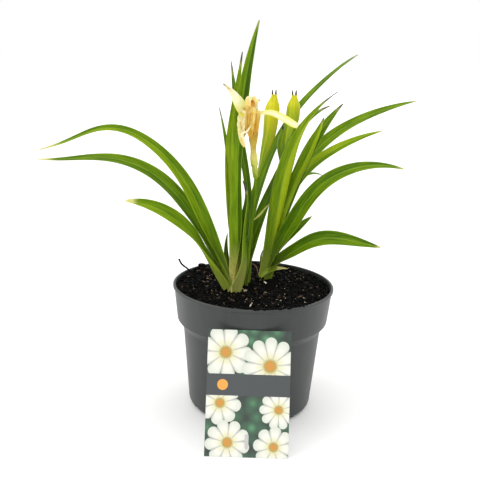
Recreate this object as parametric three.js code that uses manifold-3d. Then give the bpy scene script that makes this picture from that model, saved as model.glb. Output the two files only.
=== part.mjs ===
// A daylily in its nursery pot: three fans of folded, arching leaves, a flower stalk with one
// spent bloom and a bud, a second stalk with two buds, potting soil, the moulded pot, and the
// plant label that stands on the floor and leans on the pot's collar.
// Millimetres, +Z up, origin on the floor under the middle of the pot; +Y is the pot's back.
import * as THREE from 'three';
import { mergeVertices } from 'three/addons/utils/BufferGeometryUtils.js';
import Module from 'manifold-3d';

const wasm = await Module();
wasm.setup();

// ------------------------------------------------------------------ driving dimensions
const GAP = 0.3;                  // clearance between pieces that touch

const POT_HEIGHT = 130;
const RIM_RADIUS = 82.5;          // outside of the rolled lip
const COLLAR_BOTTOM = 95;         // lower edge of the upright collar
const COLLAR_BOTTOM_RADIUS = 77.6;
const WALL_TOP = 86;              // where the wall starts below the collar's step
const WALL_TOP_RADIUS = 71.2;
const BASE_RADIUS = 64.2;
const BASE_ROUND = 8;             // radius of the rounded edge under the wall
const POT_WALL = 1.5;
const PAD_RADIUS = 30;            // flat middle of the base, which the pot stands on
const GROOVE_OUTER = 52;          // the drainage groove runs from the pad to this radius
const GROOVE_HEIGHT = 3;
const DRAIN_COUNT = 8;
const DRAIN_RADIUS = 4;
const DRAIN_TURN = 0.67;         // share of the spacing by which the row of holes is turned
const POT_SEGMENTS = 40;

const SOIL_LEVEL = 125.2;         // middle height of the soil's surface
const SOIL_RINGS = 9;
const SOIL_FOOT_RADIUS = 56;      // flat underside of the soil, on the pot's base
const HOLE_BOTTOM = 104;          // floor of the holes that the fans stand in
const HOLE_TOP = 140;             // above the soil's surface everywhere
const ROOT_LEVEL = 116;           // where the leaves leave the crown
const CROWN_TOP = 117.5;          // the leaf feet are sunk in the crown by the difference

const LEAF_THICKNESS = 0.7;
const TIP_SHARE = 0.08;           // no part of a leaf is narrower than this share of its width
const LEAF_STATIONS = 11;

const LABEL_WIDTH = 78;
const LABEL_HEIGHT = 117;
const LABEL_THICKNESS = 0.8;
const LABEL_FOOT = new THREE.Vector2(-3, -122.2);      // middle of its lower edge, on the floor
const LABEL_LEAN = THREE.MathUtils.degToRad(21);
const LABEL_SLOT_WIDTH = 3.6;
const LABEL_SLOT_HEIGHT = 15;
const LABEL_SLOT_RISE = 7;        // from the lower edge to the slot

// ------------------------------------------------------------------ materials
const finish = (color, roughness) => new THREE.MeshStandardMaterial({ color, roughness, metalness: 0 });
const POT_PLASTIC = finish('#5b5f61', 0.45);
const SOIL = finish('#1f1813', 0.95);
const LEAF_GREEN = finish('#5f8c0c', 0.5);
const LEAF_LIGHT = finish('#86ab25', 0.5);
const LEAF_DARK = finish('#3f6b06', 0.5);
const STALK_GREEN = finish('#5d8418', 0.5);
const BUD_YELLOW = finish('#b9bb22', 0.5);
const PETAL_CREAM = finish('#f2ecae', 0.6);
const PETAL_WITHERED = finish('#e3b470', 0.7);
const PETAL_BROWN = finish('#c98632', 0.7);
const LABEL_PRINT = finish('#dfe3da', 0.3);
const LITTER_BROWN = finish('#5a3c24', 0.9);

// ------------------------------------------------------------------ solids
const toSolid = (geometry) => {
  const bare = geometry.clone();
  bare.deleteAttribute('normal');
  bare.deleteAttribute('uv');
  const merged = mergeVertices(bare, 1e-3);
  const vertProperties = new Float32Array(merged.attributes.position.array);
  const triVerts = new Uint32Array(merged.index.array);
  return new wasm.Manifold(new wasm.Mesh({ numProp: 3, vertProperties, triVerts }));
};

const toGeometry = (solid) => {
  const mesh = solid.getMesh();
  const geometry = new THREE.BufferGeometry();
  geometry.setAttribute('position', new THREE.BufferAttribute(new Float32Array(mesh.vertProperties), 3));
  geometry.setIndex(new THREE.BufferAttribute(new Uint32Array(mesh.triVerts), 1));
  return geometry;
};

const join = (geometries) => toGeometry(
  geometries.map(toSolid).reduce((whole, next) => whole.add(next)));

const largestBody = (solid) => solid.decompose().reduce(
  (best, next) => (next.volume() > best.volume() ? next : best));

/** Cuts every tool from the body and drops the loose scraps. */
const cut = (geometry, tools) => toGeometry(
  largestBody(tools.map(toSolid).reduce((left, tool) => left.subtract(tool), toSolid(geometry))));

/**
 * A closed mesh from a grid of rings, each with the same number of points. The quads from side
 * `mirroredFrom` on are split along the other diagonal, so that a blade's faces are split alike.
 */
function loft(rings, capStart, capEnd, mirroredFrom = Infinity) {
  const sides = rings[0].length;
  const points = [...rings.flat(), capStart, capEnd];
  const triangles = [];
  const at = (ring, side) => ring * sides + (side % sides);
  for (let ring = 0; ring < rings.length - 1; ring += 1) {
    for (let side = 0; side < sides; side += 1) {
      const quad = [at(ring, side), at(ring, side + 1), at(ring + 1, side + 1), at(ring + 1, side)];
      const [a, b, c, d] = side < mirroredFrom ? quad : [quad[1], quad[2], quad[3], quad[0]];
      triangles.push(a, b, c, a, c, d);
    }
  }
  const last = rings.length - 1;
  for (let side = 0; side < sides; side += 1) {
    triangles.push(points.length - 2, at(0, side + 1), at(0, side));
    triangles.push(points.length - 1, at(last, side), at(last, side + 1));
  }
  return indexed(points, triangles);
}

function indexed(points, triangles) {
  const geometry = new THREE.BufferGeometry().setFromPoints(points);
  geometry.setIndex(triangles);
  return geometry;
}

/** A lathe turned to +Z up, from [radius, height] pairs. */
const turned = (profile, segments) => new THREE.LatheGeometry(
  profile.map(([radius, height]) => new THREE.Vector2(radius, height)), segments).rotateX(Math.PI / 2);

/** An upright plug of elliptic section, for holes and for what stands in them. */
const plug = ([x, y], [halfX, halfY], bottom, top, sides = 20) => new THREE.CylinderGeometry(1, 1, 1, sides)
  .rotateX(Math.PI / 2).scale(halfX, halfY, top - bottom).translate(x, y, (top + bottom) / 2);

/** A round stem through the given points. */
function stem(points, radius, steps, sides = 8) {
  const section = new THREE.Shape();
  section.absarc(0, 0, radius, 0, 2 * Math.PI);
  const path = new THREE.CatmullRomCurve3(points.map((point) => new THREE.Vector3(...point)));
  return new THREE.ExtrudeGeometry(section, { extrudePath: path, steps, curveSegments: sides / 2 });
}

/** A smooth curve through equally spaced values, read at t from 0 to 1. */
function along(values, t) {
  if (values.length === 1) return values[0];
  const last = values.length - 1;
  const span = Math.min(Math.floor(t * last), last - 1);
  const f = t * last - span;
  const from = values[span];
  const to = values[span + 1];
  const before = span > 0 ? values[span - 1] : 2 * from - to;
  const after = span < last - 1 ? values[span + 2] : 2 * to - from;
  return 0.5 * (2 * from + (to - before) * f + (2 * before - 5 * from + 4 * to - after) * f * f
    + (after - before + 3 * (from - to)) * f * f * f);
}

const radians = THREE.MathUtils.degToRad;

/**
 * A folded blade. Its middle line starts at the root and bends through equally spaced leans
 * (degrees from upright) and headings (degrees from +X); roll turns the blade on that line. The
 * section is a keel with two wings, raised by the fold angle, which eases from root to tip.
 */
function blade(spec, grow = 0) {
  const {
    root, heading, lean, roll = [0], length, width, base = 0.7, peak = 0.35, taper = 1.7,
    tip = TIP_SHARE, fold = [60, 20], thickness = LEAF_THICKNESS, stations = LEAF_STATIONS,
  } = spec;
  const substeps = 6;
  const half = thickness / 2 + grow;
  const point = new THREE.Vector3(...root);
  const rings = [];
  for (let step = 0; step <= stations * substeps; step += 1) {
    const t = step / (stations * substeps);
    const theta = radians(along(lean, t));
    const phi = radians(along(heading, t));
    const forward = new THREE.Vector3(
      Math.sin(theta) * Math.cos(phi), Math.sin(theta) * Math.sin(phi), Math.cos(theta));
    if (step > 0) point.addScaledVector(forward, length / (stations * substeps));
    if (step % substeps === 0) {
      const turn = radians(along(roll, t));
      const across = new THREE.Vector3(-Math.sin(phi), Math.cos(phi), 0).applyAxisAngle(forward, turn);
      const inner = new THREE.Vector3().crossVectors(forward, across);
      const rise = t < peak
        ? base + (1 - base) * Math.sin((Math.PI / 2) * (t / peak))
        : Math.max(1 - (1 - tip) * ((t - peak) / (1 - peak)) ** taper, TIP_SHARE);
      const opening = THREE.MathUtils.smoothstep(t, 0, 0.4);
      const wing = radians(THREE.MathUtils.lerp(fold[0], fold[1], opening));
      const end = step === 0 ? -grow : (t === 1 ? grow : 0);
      rings.push(bladeSection(point.clone().addScaledVector(forward, end), across, inner,
        (width / 2) * rise + grow, wing, half));
    }
  }
  const middle = (ring) => ring[1].clone().add(ring[4]).multiplyScalar(0.5);
  return loft(rings, middle(rings[0]), middle(rings[stations]), 3);
}

/** One ring of a blade: edge, keel and edge of its outer face, then back along its inner face. */
function bladeSection(keel, across, inner, reach, wing, half) {
  const faces = [[], []];
  for (const place of [-1, 0, 1]) {
    const middle = keel.clone()
      .addScaledVector(across, place * reach * Math.cos(wing))
      .addScaledVector(inner, Math.abs(place) * reach * Math.sin(wing));
    const normal = place === 0
      ? inner.clone().multiplyScalar(Math.min(1 / Math.cos(wing), 1.5))
      : inner.clone().multiplyScalar(Math.cos(wing)).addScaledVector(across, -place * Math.sin(wing));
    faces[0].push(middle.clone().addScaledVector(normal, half));
    faces[1].push(middle.clone().addScaledVector(normal, -half));
  }
  return [...faces[0], ...faces[1].reverse()].reverse();
}

/** A plump closed form on a bent axis: bud, ovary or collapsed bloom, with soft ridges. */
function spindle(spec, grow = 0) {
  const { axis, radii, ridges = 3, ridgesAt = 0, ridge = 0.06, flatten = 1, sides = 12 } = spec;
  const curve = new THREE.CatmullRomCurve3(axis.map((point) => new THREE.Vector3(...point)));
  const rings = radii.map(([t, radius]) => {
    const centre = curve.getPointAt(t);
    const up = curve.getTangentAt(t);
    const across = new THREE.Vector3(0, 1, 0).cross(up).normalize();
    const depth = up.clone().cross(across);
    return Array.from({ length: sides }, (_, side) => {
      const angle = (2 * Math.PI * side) / sides;
      const reach = radius * (1 + ridge * Math.cos(ridges * (angle - radians(ridgesAt)))) + grow;
      return centre.clone()
        .addScaledVector(across, reach * Math.cos(angle))
        .addScaledVector(depth, reach * flatten * Math.sin(angle));
    });
  });
  const pole = (t, sign) => curve.getPointAt(t).addScaledVector(curve.getTangentAt(t), sign * (0.4 + grow));
  return loft(rings, pole(radii[0][0], -1), pole(radii[radii.length - 1][0], 1));
}

// ------------------------------------------------------------------ pot
// One moulded shell: base with a drainage groove, sloping wall, stepped collar, rolled lip.
function pot() {
  const ringRadius = BASE_RADIUS - BASE_ROUND;
  const rounded = (radius, steps) => Array.from({ length: steps + 1 }, (_, step) => {
    const angle = (-Math.PI / 2) * (1 - step / steps);
    return [ringRadius + radius * Math.cos(angle), BASE_ROUND + radius * Math.sin(angle)];
  });
  const outside = [
    [0, 0],
    [PAD_RADIUS, 0],
    [PAD_RADIUS + 3, GROOVE_HEIGHT],
    [GROOVE_OUTER - 3, GROOVE_HEIGHT],
    [GROOVE_OUTER, 0],
    ...rounded(BASE_ROUND, 4),
    [WALL_TOP_RADIUS, WALL_TOP],
    [COLLAR_BOTTOM_RADIUS - 1, COLLAR_BOTTOM - 2],
    [COLLAR_BOTTOM_RADIUS, COLLAR_BOTTOM],
    [RIM_RADIUS - 1.3, POT_HEIGHT - 3.4],
    [RIM_RADIUS, POT_HEIGHT - 2.6],
    [RIM_RADIUS, POT_HEIGHT - 0.7],
    [RIM_RADIUS - 0.8, POT_HEIGHT],
    [RIM_RADIUS - 2.1, POT_HEIGHT],
  ];
  const inside = [
    [RIM_RADIUS - 2.8, POT_HEIGHT - 0.8],
    [COLLAR_BOTTOM_RADIUS - POT_WALL, COLLAR_BOTTOM + 0.6],
    [WALL_TOP_RADIUS - POT_WALL, WALL_TOP + 0.8],
    ...rounded(BASE_ROUND - POT_WALL, 3).reverse(),
    [GROOVE_OUTER, POT_WALL],
    [GROOVE_OUTER - 3, GROOVE_HEIGHT + POT_WALL],
    [PAD_RADIUS + 3, GROOVE_HEIGHT + POT_WALL],
    [PAD_RADIUS, POT_WALL],
    [0, POT_WALL],
  ];
  const drains = Array.from({ length: DRAIN_COUNT }, (_, count) => {
    const angle = (2 * Math.PI * (count + DRAIN_TURN)) / DRAIN_COUNT;
    const reach = BASE_RADIUS - DRAIN_RADIUS;
    return plug([reach * Math.cos(angle), reach * Math.sin(angle)],
      [DRAIN_RADIUS, DRAIN_RADIUS], -1, BASE_ROUND - 2, 10);
  });
  return cut(turned([...outside, ...inside], POT_SEGMENTS), drains);
}

// ------------------------------------------------------------------ soil
// Moist potting soil: level with the lip at the back, lower at the front, lumpy on top, with one
// plain hole for each fan of leaves.
const FANS = {
  left: { centre: [-21, -7], halves: [15, 10.5] },
  middle: { centre: [-7, 13], halves: [11, 12] },
  right: { centre: [13.5, 41.5], halves: [14.5, 22] },
};

const soilHeight = (x, y) => SOIL_LEVEL + 2.6 * (y / RIM_RADIUS)
  + 0.9 * Math.sin(x / 7.3 + 1.1) * Math.cos(y / 6.1)
  + 0.6 * Math.sin(x / 3.9 - y / 4.7)
  + 2.2 * Math.exp(-(((x + 57) / 14) ** 2) - ((y - 50) / 12) ** 2)
  - 1.2 * Math.exp(-(((x + 20) / 22) ** 2) - ((y + 14) / 12) ** 2);

function soil(grow = 0) {
  const clearOfPot = GAP + 0.1;
  const side = [
    [SOIL_FOOT_RADIUS, GROOVE_HEIGHT + POT_WALL + GAP],
    [BASE_RADIUS - POT_WALL - clearOfPot - 1, BASE_ROUND - 1],
    [WALL_TOP_RADIUS - POT_WALL - clearOfPot, WALL_TOP + 0.8],
    [COLLAR_BOTTOM_RADIUS - POT_WALL - clearOfPot, COLLAR_BOTTOM + 0.6],
  ];
  const topRadius = RIM_RADIUS - 2.8 - clearOfPot - 0.5;
  const ringOf = (radius, height) => Array.from({ length: POT_SEGMENTS }, (_, step) => {
    const angle = (2 * Math.PI * step) / POT_SEGMENTS;
    const x = radius * Math.sin(angle);
    const y = -radius * Math.cos(angle);
    return new THREE.Vector3(x, y, height(x, y));
  });
  const surface = (x, y) => soilHeight(x, y) + grow;
  const rings = [
    ...side.map(([radius, height]) => ringOf(radius, () => height)),
    ...Array.from({ length: SOIL_RINGS }, (_, ring) => ringOf(topRadius * (1 - ring / SOIL_RINGS), surface)),
  ];
  const body = loft(rings, new THREE.Vector3(0, 0, side[0][1]), new THREE.Vector3(0, 0, surface(0, 0)));
  if (grow > 0) return body;
  const holes = Object.values(FANS).map(({ centre, halves }) => plug(centre, halves, HOLE_BOTTOM, HOLE_TOP));
  return cut(body, holes);
}

/** The short root crown that the leaves of one fan grow from, down in its hole. */
const crown = ({ centre, halves }) => plug(centre, halves.map((half) => half - 2 * GAP),
  HOLE_BOTTOM + GAP, CROWN_TOP, 16);

// ------------------------------------------------------------------ leaves
// Each leaf is folded along its keel and clasps the fan at its foot. Outer leaves arch over,
// inner ones stand. Root is where it leaves the crown. In each fan the leaves are listed from
// the outermost in: where two meet in the sheath, the later one gives way.
const onCrown = (x, y) => [x, y, ROOT_LEVEL];

const LEAVES = {
  leaf_left_1: {
    root: onCrown(-25, -9), heading: [190, 200], lean: [32, 28, 52, 82], roll: [0, -10, -45, -45],
    length: 155, width: 19, base: 0.9, peak: 0.5, taper: 2.6, tip: 0.15, fold: [75, 20], colour: LEAF_LIGHT },
  leaf_left_2: {
    root: onCrown(-14.5, -10.5), heading: [-5], lean: [16, 10, -4, -1, 3, -31], roll: [0, 25, 40],
    length: 125, width: 19.5, base: 1.5, peak: 0.45, taper: 1.4, fold: [75, 45], colour: LEAF_LIGHT },
  leaf_left_3: {
    root: onCrown(-22.5, -8), heading: [174, 176], lean: [23, 19, 24, 41, 66, 112, 107],
    roll: [0, -60, -55, -55], length: 299, width: 17, base: 0.95, peak: 0.22, taper: 1.2, fold: [75, 20],
    colour: LEAF_GREEN },
  leaf_left_4: {
    root: onCrown(-13.5, -7.5), heading: [10], lean: [-3, -2.5, 3.5, 14.5], roll: [0, 45, 35, 68, 76],
    length: 277, width: 15, base: 1.5, peak: 0.6, fold: [70, 20], colour: LEAF_GREEN },
  leaf_left_5: {
    root: onCrown(-19, -5), heading: [165, 150], lean: [6.4, 2.8, 2.9, -5.5, -7.6], roll: [0, -60, -50],
    length: 247, width: 12, peak: 0.6, taper: 1.3, fold: [75, 20], colour: LEAF_LIGHT },
  leaf_left_6: {
    root: onCrown(-20.5, -2.5), heading: [180], lean: [7, 2, 14], roll: [0, -40, -60], length: 194, width: 9,
    fold: [75, 20], colour: LEAF_DARK },
  leaf_left_7: {
    root: onCrown(-23.5, -4.5), heading: [166, 164], lean: [32, 25, 41, 71, 97, 92], roll: [0, -40, -35],
    length: 284, width: 17, base: 1.1, fold: [75, 20], colour: LEAF_DARK },
  leaf_left_8: {
    root: onCrown(-21, 0), heading: [130], lean: [20, 15, -14], roll: [-30], length: 67, width: 7,
    stations: 6, colour: LEAF_DARK },
  leaf_middle_1: {
    root: onCrown(-7, 8.5), heading: [78, 53, 45], lean: [-15, 24, 29, 21], length: 140, width: 15,
    peak: 0.65, taper: 1.3, tip: 0.1, stations: 8, colour: LEAF_DARK },
  leaf_middle_2: {
    root: onCrown(-7, 19), heading: [82, 52, 35, 45, 58], lean: [-6, 15, 30.7, 57.5, 76], roll: [0, 0, 15],
    length: 325, width: 15, taper: 1.2, colour: LEAF_DARK },
  leaf_middle_3: {
    root: onCrown(-7, 13), heading: [150], lean: [-6, 1, 5, 13.5, 9, 9.5], roll: [0, -60], length: 238,
    width: 8.5, peak: 0.6, taper: 2, colour: LEAF_DARK },
  leaf_right_1: {
    root: onCrown(12, 31.5), heading: [-25, -10], lean: [12, 6, 18, 52], roll: [-20, -50, -20], length: 227,
    width: 19, base: 0.88, peak: 0.6, taper: 1.2, tip: 0, colour: LEAF_GREEN },
  leaf_right_2: {
    root: onCrown(19.5, 28.5), heading: [-42, -30], lean: [-6, 45, 58, 88, 95], roll: [30, 60, 70],
    length: 158, width: 17, base: 1.1, peak: 0.5, taper: 2, fold: [60, 15], colour: LEAF_GREEN },
  leaf_right_3: {
    root: onCrown(17, 30.5), heading: [-26, -22], lean: [3, 24, 33, 66, 100], roll: [40, 70, 50], length: 219,
    width: 19, base: 0.8, peak: 0.35, taper: 1.8, fold: [60, 12], colour: LEAF_GREEN },
  leaf_right_4: {
    root: onCrown(15.5, 36.5), heading: [0], lean: [5, 12, 22, 19], roll: [30, 50], length: 190, width: 16,
    base: 0.8, peak: 0.65, colour: LEAF_DARK },
  leaf_right_5: {
    root: onCrown(8, 31.5), heading: [190], lean: [-25, 3, -11], roll: [-40], length: 68, width: 5,
    stations: 6, colour: LEAF_LIGHT },
  leaf_right_6: {
    root: onCrown(6.5, 35), heading: [180], lean: [-37, 14, -35], roll: [-30], length: 45, width: 6,
    stations: 6, colour: LEAF_DARK },
  leaf_right_7: {
    root: onCrown(9, 26), heading: [-40, -20], lean: [-19, 53, 90], roll: [40, 60], length: 47, width: 7,
    stations: 6, colour: LEAF_LIGHT },
  leaf_back_1: {
    root: onCrown(16, 45.5), heading: [8], lean: [5, 15, 22, 43], roll: [10, 60, 80], length: 211, width: 14,
    peak: 0.6, taper: 2.2, colour: LEAF_DARK },
  leaf_back_2: {
    root: onCrown(11.5, 49), heading: [24], lean: [12, 7, 18, 70], roll: [10, 40], length: 214, width: 14,
    peak: 0.4, taper: 2, colour: LEAF_DARK },
  leaf_back_3: {
    root: onCrown(18, 50.5), heading: [18], lean: [4, 15, 55, 78], roll: [10, 60], length: 228, width: 14,
    peak: 0.4, taper: 2, colour: LEAF_LIGHT },
  leaf_back_4: {
    root: onCrown(15.5, 55), heading: [30, 32], lean: [1, 27, 66, 83], roll: [10, 60], length: 309, width: 14,
    peak: 0.4, taper: 2, colour: LEAF_GREEN },
  leaf_back_5: {
    root: onCrown(21.5, 46), heading: [8], lean: [-18, 34, 53], roll: [10, 70], length: 91, width: 11,
    peak: 0.6, taper: 2, stations: 6, colour: LEAF_DARK },
  leaf_back_6: {
    root: onCrown(15.5, 59), heading: [48], lean: [18, 12, 67, 128], roll: [0, 40], length: 184, width: 7,
    colour: LEAF_DARK },
};

// ------------------------------------------------------------------ stalks and buds
// Two flower stalks: one from the middle fan with the spent bloom and the first bud, one from
// the right fan, behind its broad leaf, with two more buds.
const STALKS = {
  stalk_main: {
    points: [[-8, 6.5, 116], [-6, 4.5, 160], [-3.7, 4, 202], [-1.2, 4, 238]],
    radius: 2 },
  stalk_back: {
    points: [[13.5, 41, 116], [17, 40, 160], [22.5, 34, 205], [27.7, 27.5, 246]],
    radius: 1.8 },
};
const STALK_STEPS = 10;
const stalk = ({ points, radius }, grow = 0) => stem(points, radius + grow, STALK_STEPS);

// Radii of a closed bud from its foot to just under its tips.
const BUD_SHAPE = [[0, 0.24], [0.14, 0.24], [0.25, 0.36], [0.38, 0.65], [0.5, 0.83], [0.6, 0.93], [0.72, 1],
  [0.8, 1], [0.87, 0.92], [0.94, 0.57], [0.985, 0.38]];
const BUDS = {                     // ribsAt turns the three ridges, in degrees from +X
  bud_1: {
    axis: [[0.3, 6.5, 239.2], [4.8, 24, 254], [10.9, 28, 277.5], [13.1, 28, 300.5], [15, 28, 320.2]],
    width: 15.2, ribsAt: 60 },
  bud_2: {
    axis: [[28.3, 27.2, 247.2], [29.8, 26, 272], [34, 26, 297.5], [35.1, 26, 320.4]],
    width: 14, ribsAt: 60 },
  bud_3: {
    axis: [[25, 31.3, 226], [28, 32.5, 246], [25.7, 32.5, 266], [27.1, 32, 285]],
    width: 11.5, ribsAt: 40 },
};
const BUD_PRONGS = 3;             // free tips of the outer petals
const PRONG_RADIUS = 1.5;
const PRONG_LENGTH = 10;
const PRONG_SPREAD = 2.1;

function bud({ axis, width, ribsAt }, grow = 0) {
  const radii = BUD_SHAPE.map(([t, share]) => [t, (share * width) / 2]);
  const body = spindle({ axis, radii, ridgesAt: ribsAt }, grow);
  const [tipX, tipY, tipZ] = axis[axis.length - 1];
  const prongs = Array.from({ length: BUD_PRONGS }, (_, count) => {
    const angle = radians(ribsAt + (360 * count) / BUD_PRONGS);
    return new THREE.ConeGeometry(PRONG_RADIUS + grow, PRONG_LENGTH + 2 * grow, 6)
      .rotateX(Math.PI / 2)
      .translate(tipX + PRONG_SPREAD * Math.cos(angle), tipY + PRONG_SPREAD * Math.sin(angle), tipZ);
  });
  return join([body, ...prongs]);
}

// One small papery bract on the main stalk, under the bloom.
const BRACTS = {
  bract_1: {
    root: [-2.2, 2.6, 196], heading: [-5], lean: [52, 38, 38], roll: [60], length: 24, width: 2.6,
    stations: 5, colour: LEAF_LIGHT },
};

// ------------------------------------------------------------------ spent bloom
// A day-old bloom: green ovary, pale tube, collapsed brown middle; two petals still stand out,
// one is curled into a knob, the rest hang in folds.
const BLOOM_BODY = {
  axis: [[-1.2, 4, 238.5], [-4.7, -3, 264], [-5.3, -9, 287], [-3.1, -13, 305.5]],
  radii: [[0, 1.8], [0.04, 2.7], [0.13, 2.9], [0.17, 2.5], [0.2, 3.6], [0.3, 3.4], [0.38, 2.6], [0.45, 2.8],
    [0.55, 4.1], [0.65, 4.2], [0.8, 3.8], [0.92, 2.9], [0.985, 1.8]],
  ridge: 0.1,
  flatten: 0.85,
};

const PETALS = {
  petal_left: {
    root: [-12.5, -17, 305.5], heading: [180], lean: [50, 33, 39, 57], roll: [-70, -80], length: 36,
    width: 14, base: 1, peak: 0.15, taper: 1.1, fold: [25, 15], stations: 8, colour: PETAL_CREAM },
  petal_right: {
    root: [-3.7, -15.5, 304.3], heading: [-5, 0], lean: [72, 88, 112, 119, 108], roll: [50, 65], length: 43,
    width: 8.4, base: 0.45, peak: 0.7, taper: 3, tip: 0.7, fold: [40, 28], stations: 8, colour: PETAL_CREAM },
  petal_curled: {
    root: [-6.5, -14, 306], heading: [240], lean: [-14, 5, 90, 195, 330, 520], length: 47, width: 6.8,
    base: 0.8, peak: 0.4, tip: 0.5, fold: [12, 12], stations: 14, colour: PETAL_BROWN },
  petal_upright: {
    root: [-4.4, -14, 305.2], heading: [10], lean: [20, 0, 30], roll: [60], length: 14, width: 4, base: 0.7,
    peak: 0.4, tip: 0.3, fold: [30, 20], stations: 5, colour: PETAL_CREAM },
};

const HANGING_FOLDS = [
  { root: [-14.6, -19, 308.5], lean: [152, 176, 180, 186, 215], length: 36, width: 9, roll: [-60, -80] },
  { root: [-13.2, -17.5, 310], lean: [172, 178, 176, 170], length: 28, width: 10, roll: [-70, -100] },
  { root: [-8, -18.5, 312], lean: [172, 174, 184, 190], length: 30, width: 12, roll: [-80, -95] },
  { root: [-3.5, -17, 309], lean: [176, 178, 186, 190], length: 24, width: 11, roll: [-95, -75] },
];

const foldOf = (shape, grow) => blade({
  ...shape, heading: [180], base: 0.8, peak: 0.3, tip: 0.25, fold: [35, 30], thickness: 1,
  stations: 6 }, grow);
const hangingPetals = (grow = 0) => join(HANGING_FOLDS.map((shape) => foldOf(shape, grow)));

const FILAMENTS = {
  stamen: {
    points: [[-7.8, -18, 295], [-11.8, -24, 289.3], [-17, -24.5, 286.2], [-13.1, -24.5, 280.3]],
    radius: 0.8 },
  style: {
    points: [[-3.4, -14, 304.2], [-3, -15, 312.2], [-0.8, -15, 318.7]],
    radius: 0.5 },
};
const filament = ({ points, radius }, grow = 0) => stem(points, radius + grow, 8, 6);

// ------------------------------------------------------------------ plant label
// A printed card with a pointed slot near its foot, standing on the floor and leaning back on
// the collar.
function label() {
  const outline = new THREE.Shape();
  outline.moveTo(-LABEL_WIDTH / 2, 0);
  outline.lineTo(LABEL_WIDTH / 2, 0);
  outline.lineTo(LABEL_WIDTH / 2, LABEL_HEIGHT);
  outline.lineTo(-LABEL_WIDTH / 2, LABEL_HEIGHT);
  const half = LABEL_SLOT_WIDTH / 2;
  const slot = new THREE.Path();
  slot.moveTo(-half, LABEL_SLOT_RISE + half);
  slot.lineTo(0, LABEL_SLOT_RISE);
  slot.lineTo(half, LABEL_SLOT_RISE + half);
  slot.lineTo(half, LABEL_SLOT_RISE + LABEL_SLOT_HEIGHT - half);
  slot.lineTo(0, LABEL_SLOT_RISE + LABEL_SLOT_HEIGHT);
  slot.lineTo(-half, LABEL_SLOT_RISE + LABEL_SLOT_HEIGHT - half);
  outline.holes.push(slot);
  const card = new THREE.ExtrudeGeometry(outline, { depth: LABEL_THICKNESS, bevelEnabled: false });
  return card.rotateX(Math.PI / 2).translate(0, LABEL_THICKNESS, 0);
}

// ------------------------------------------------------------------ litter on the soil
const LITTER = {
  twig: {
    points: [[-63, 33.5, 125.5], [-70.5, 37.5, 131.6], [-76.9, 41, 135.3], [-80.4, 41, 141.2]], radius: 1.2 },
  root_fibre: { points: [[-3.4, 44, 126.5], [-3.5, 42, 138], [3, 41, 136], [6.6, 38, 126.8]], radius: 0.6 },
  straw: { points: [[-3.4, -55, 124.3], [-1, -45, 124.8], [1.2, -35, 125]], radius: 0.6 },
};

// ------------------------------------------------------------------ assembly
const model = new THREE.Group();

function add(name, geometry, material) {
  const mesh = new THREE.Mesh(geometry, material);
  mesh.name = name;
  model.add(mesh);
  return mesh;
}

/** Adds the plant's pieces in order; each is cut clear of the ones before it that it meets. */
function addInOrder(pieces) {
  const placed = [];
  for (const { name, make, material } of pieces) {
    const geometry = make(0);
    geometry.computeBoundingBox();
    const near = placed.filter(({ box }) => box.intersectsBox(geometry.boundingBox));
    const mine = toSolid(geometry);
    const met = near.filter(({ grown }) => grown.intersect(mine).volume() > 0);
    const trimmed = met.length === 0 ? geometry
      : toGeometry(largestBody(met.reduce((left, { grown }) => left.subtract(grown), mine)));
    add(name, trimmed, material);
    placed.push({ grown: toSolid(make(GAP)), box: geometry.boundingBox.clone().expandByScalar(GAP) });
  }
}

const piecesOf = (table, make, material) => Object.entries(table).map(([name, spec]) => ({
  name, make: (grow) => make(spec, grow), material: material ?? spec.colour }));

add('pot', pot(), POT_PLASTIC);
add('soil', soil(), SOIL);
addInOrder([
  ...piecesOf(STALKS, stalk, STALK_GREEN),
  { name: 'bloom_body', make: (grow) => spindle(BLOOM_BODY, grow), material: PETAL_WITHERED },
  ...piecesOf(BUDS, bud, BUD_YELLOW),
  ...piecesOf(FILAMENTS, filament, PETAL_CREAM),
  ...piecesOf(PETALS, blade),
  { name: 'petals_hanging', make: hangingPetals, material: PETAL_WITHERED },
  ...piecesOf(BRACTS, blade),
  ...piecesOf(LEAVES, blade),
  ...Object.entries(FANS).map(([side, fan]) => ({
    name: `crown_${side}`, make: () => crown(fan), material: LITTER_BROWN })),
]);

const card = add('plant_label', label(), LABEL_PRINT);
card.position.set(LABEL_FOOT.x, LABEL_FOOT.y, LABEL_THICKNESS * Math.sin(LABEL_LEAN));
card.rotation.x = -LABEL_LEAN;

const soilSkin = soil(GAP);
for (const [name, { points, radius }] of Object.entries(LITTER)) {
  add(name, cut(stem(points, radius, 8, 6), [soilSkin]), LITTER_BROWN);
}

export default model;
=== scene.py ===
"""A potted daylily: pot, soil, leaves, buds, a spent bloom and its plant label, on a studio floor.

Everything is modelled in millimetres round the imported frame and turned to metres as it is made.
"""
import math
import random

import bpy
import numpy as np
from mathutils import Matrix, Vector, noise


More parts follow.
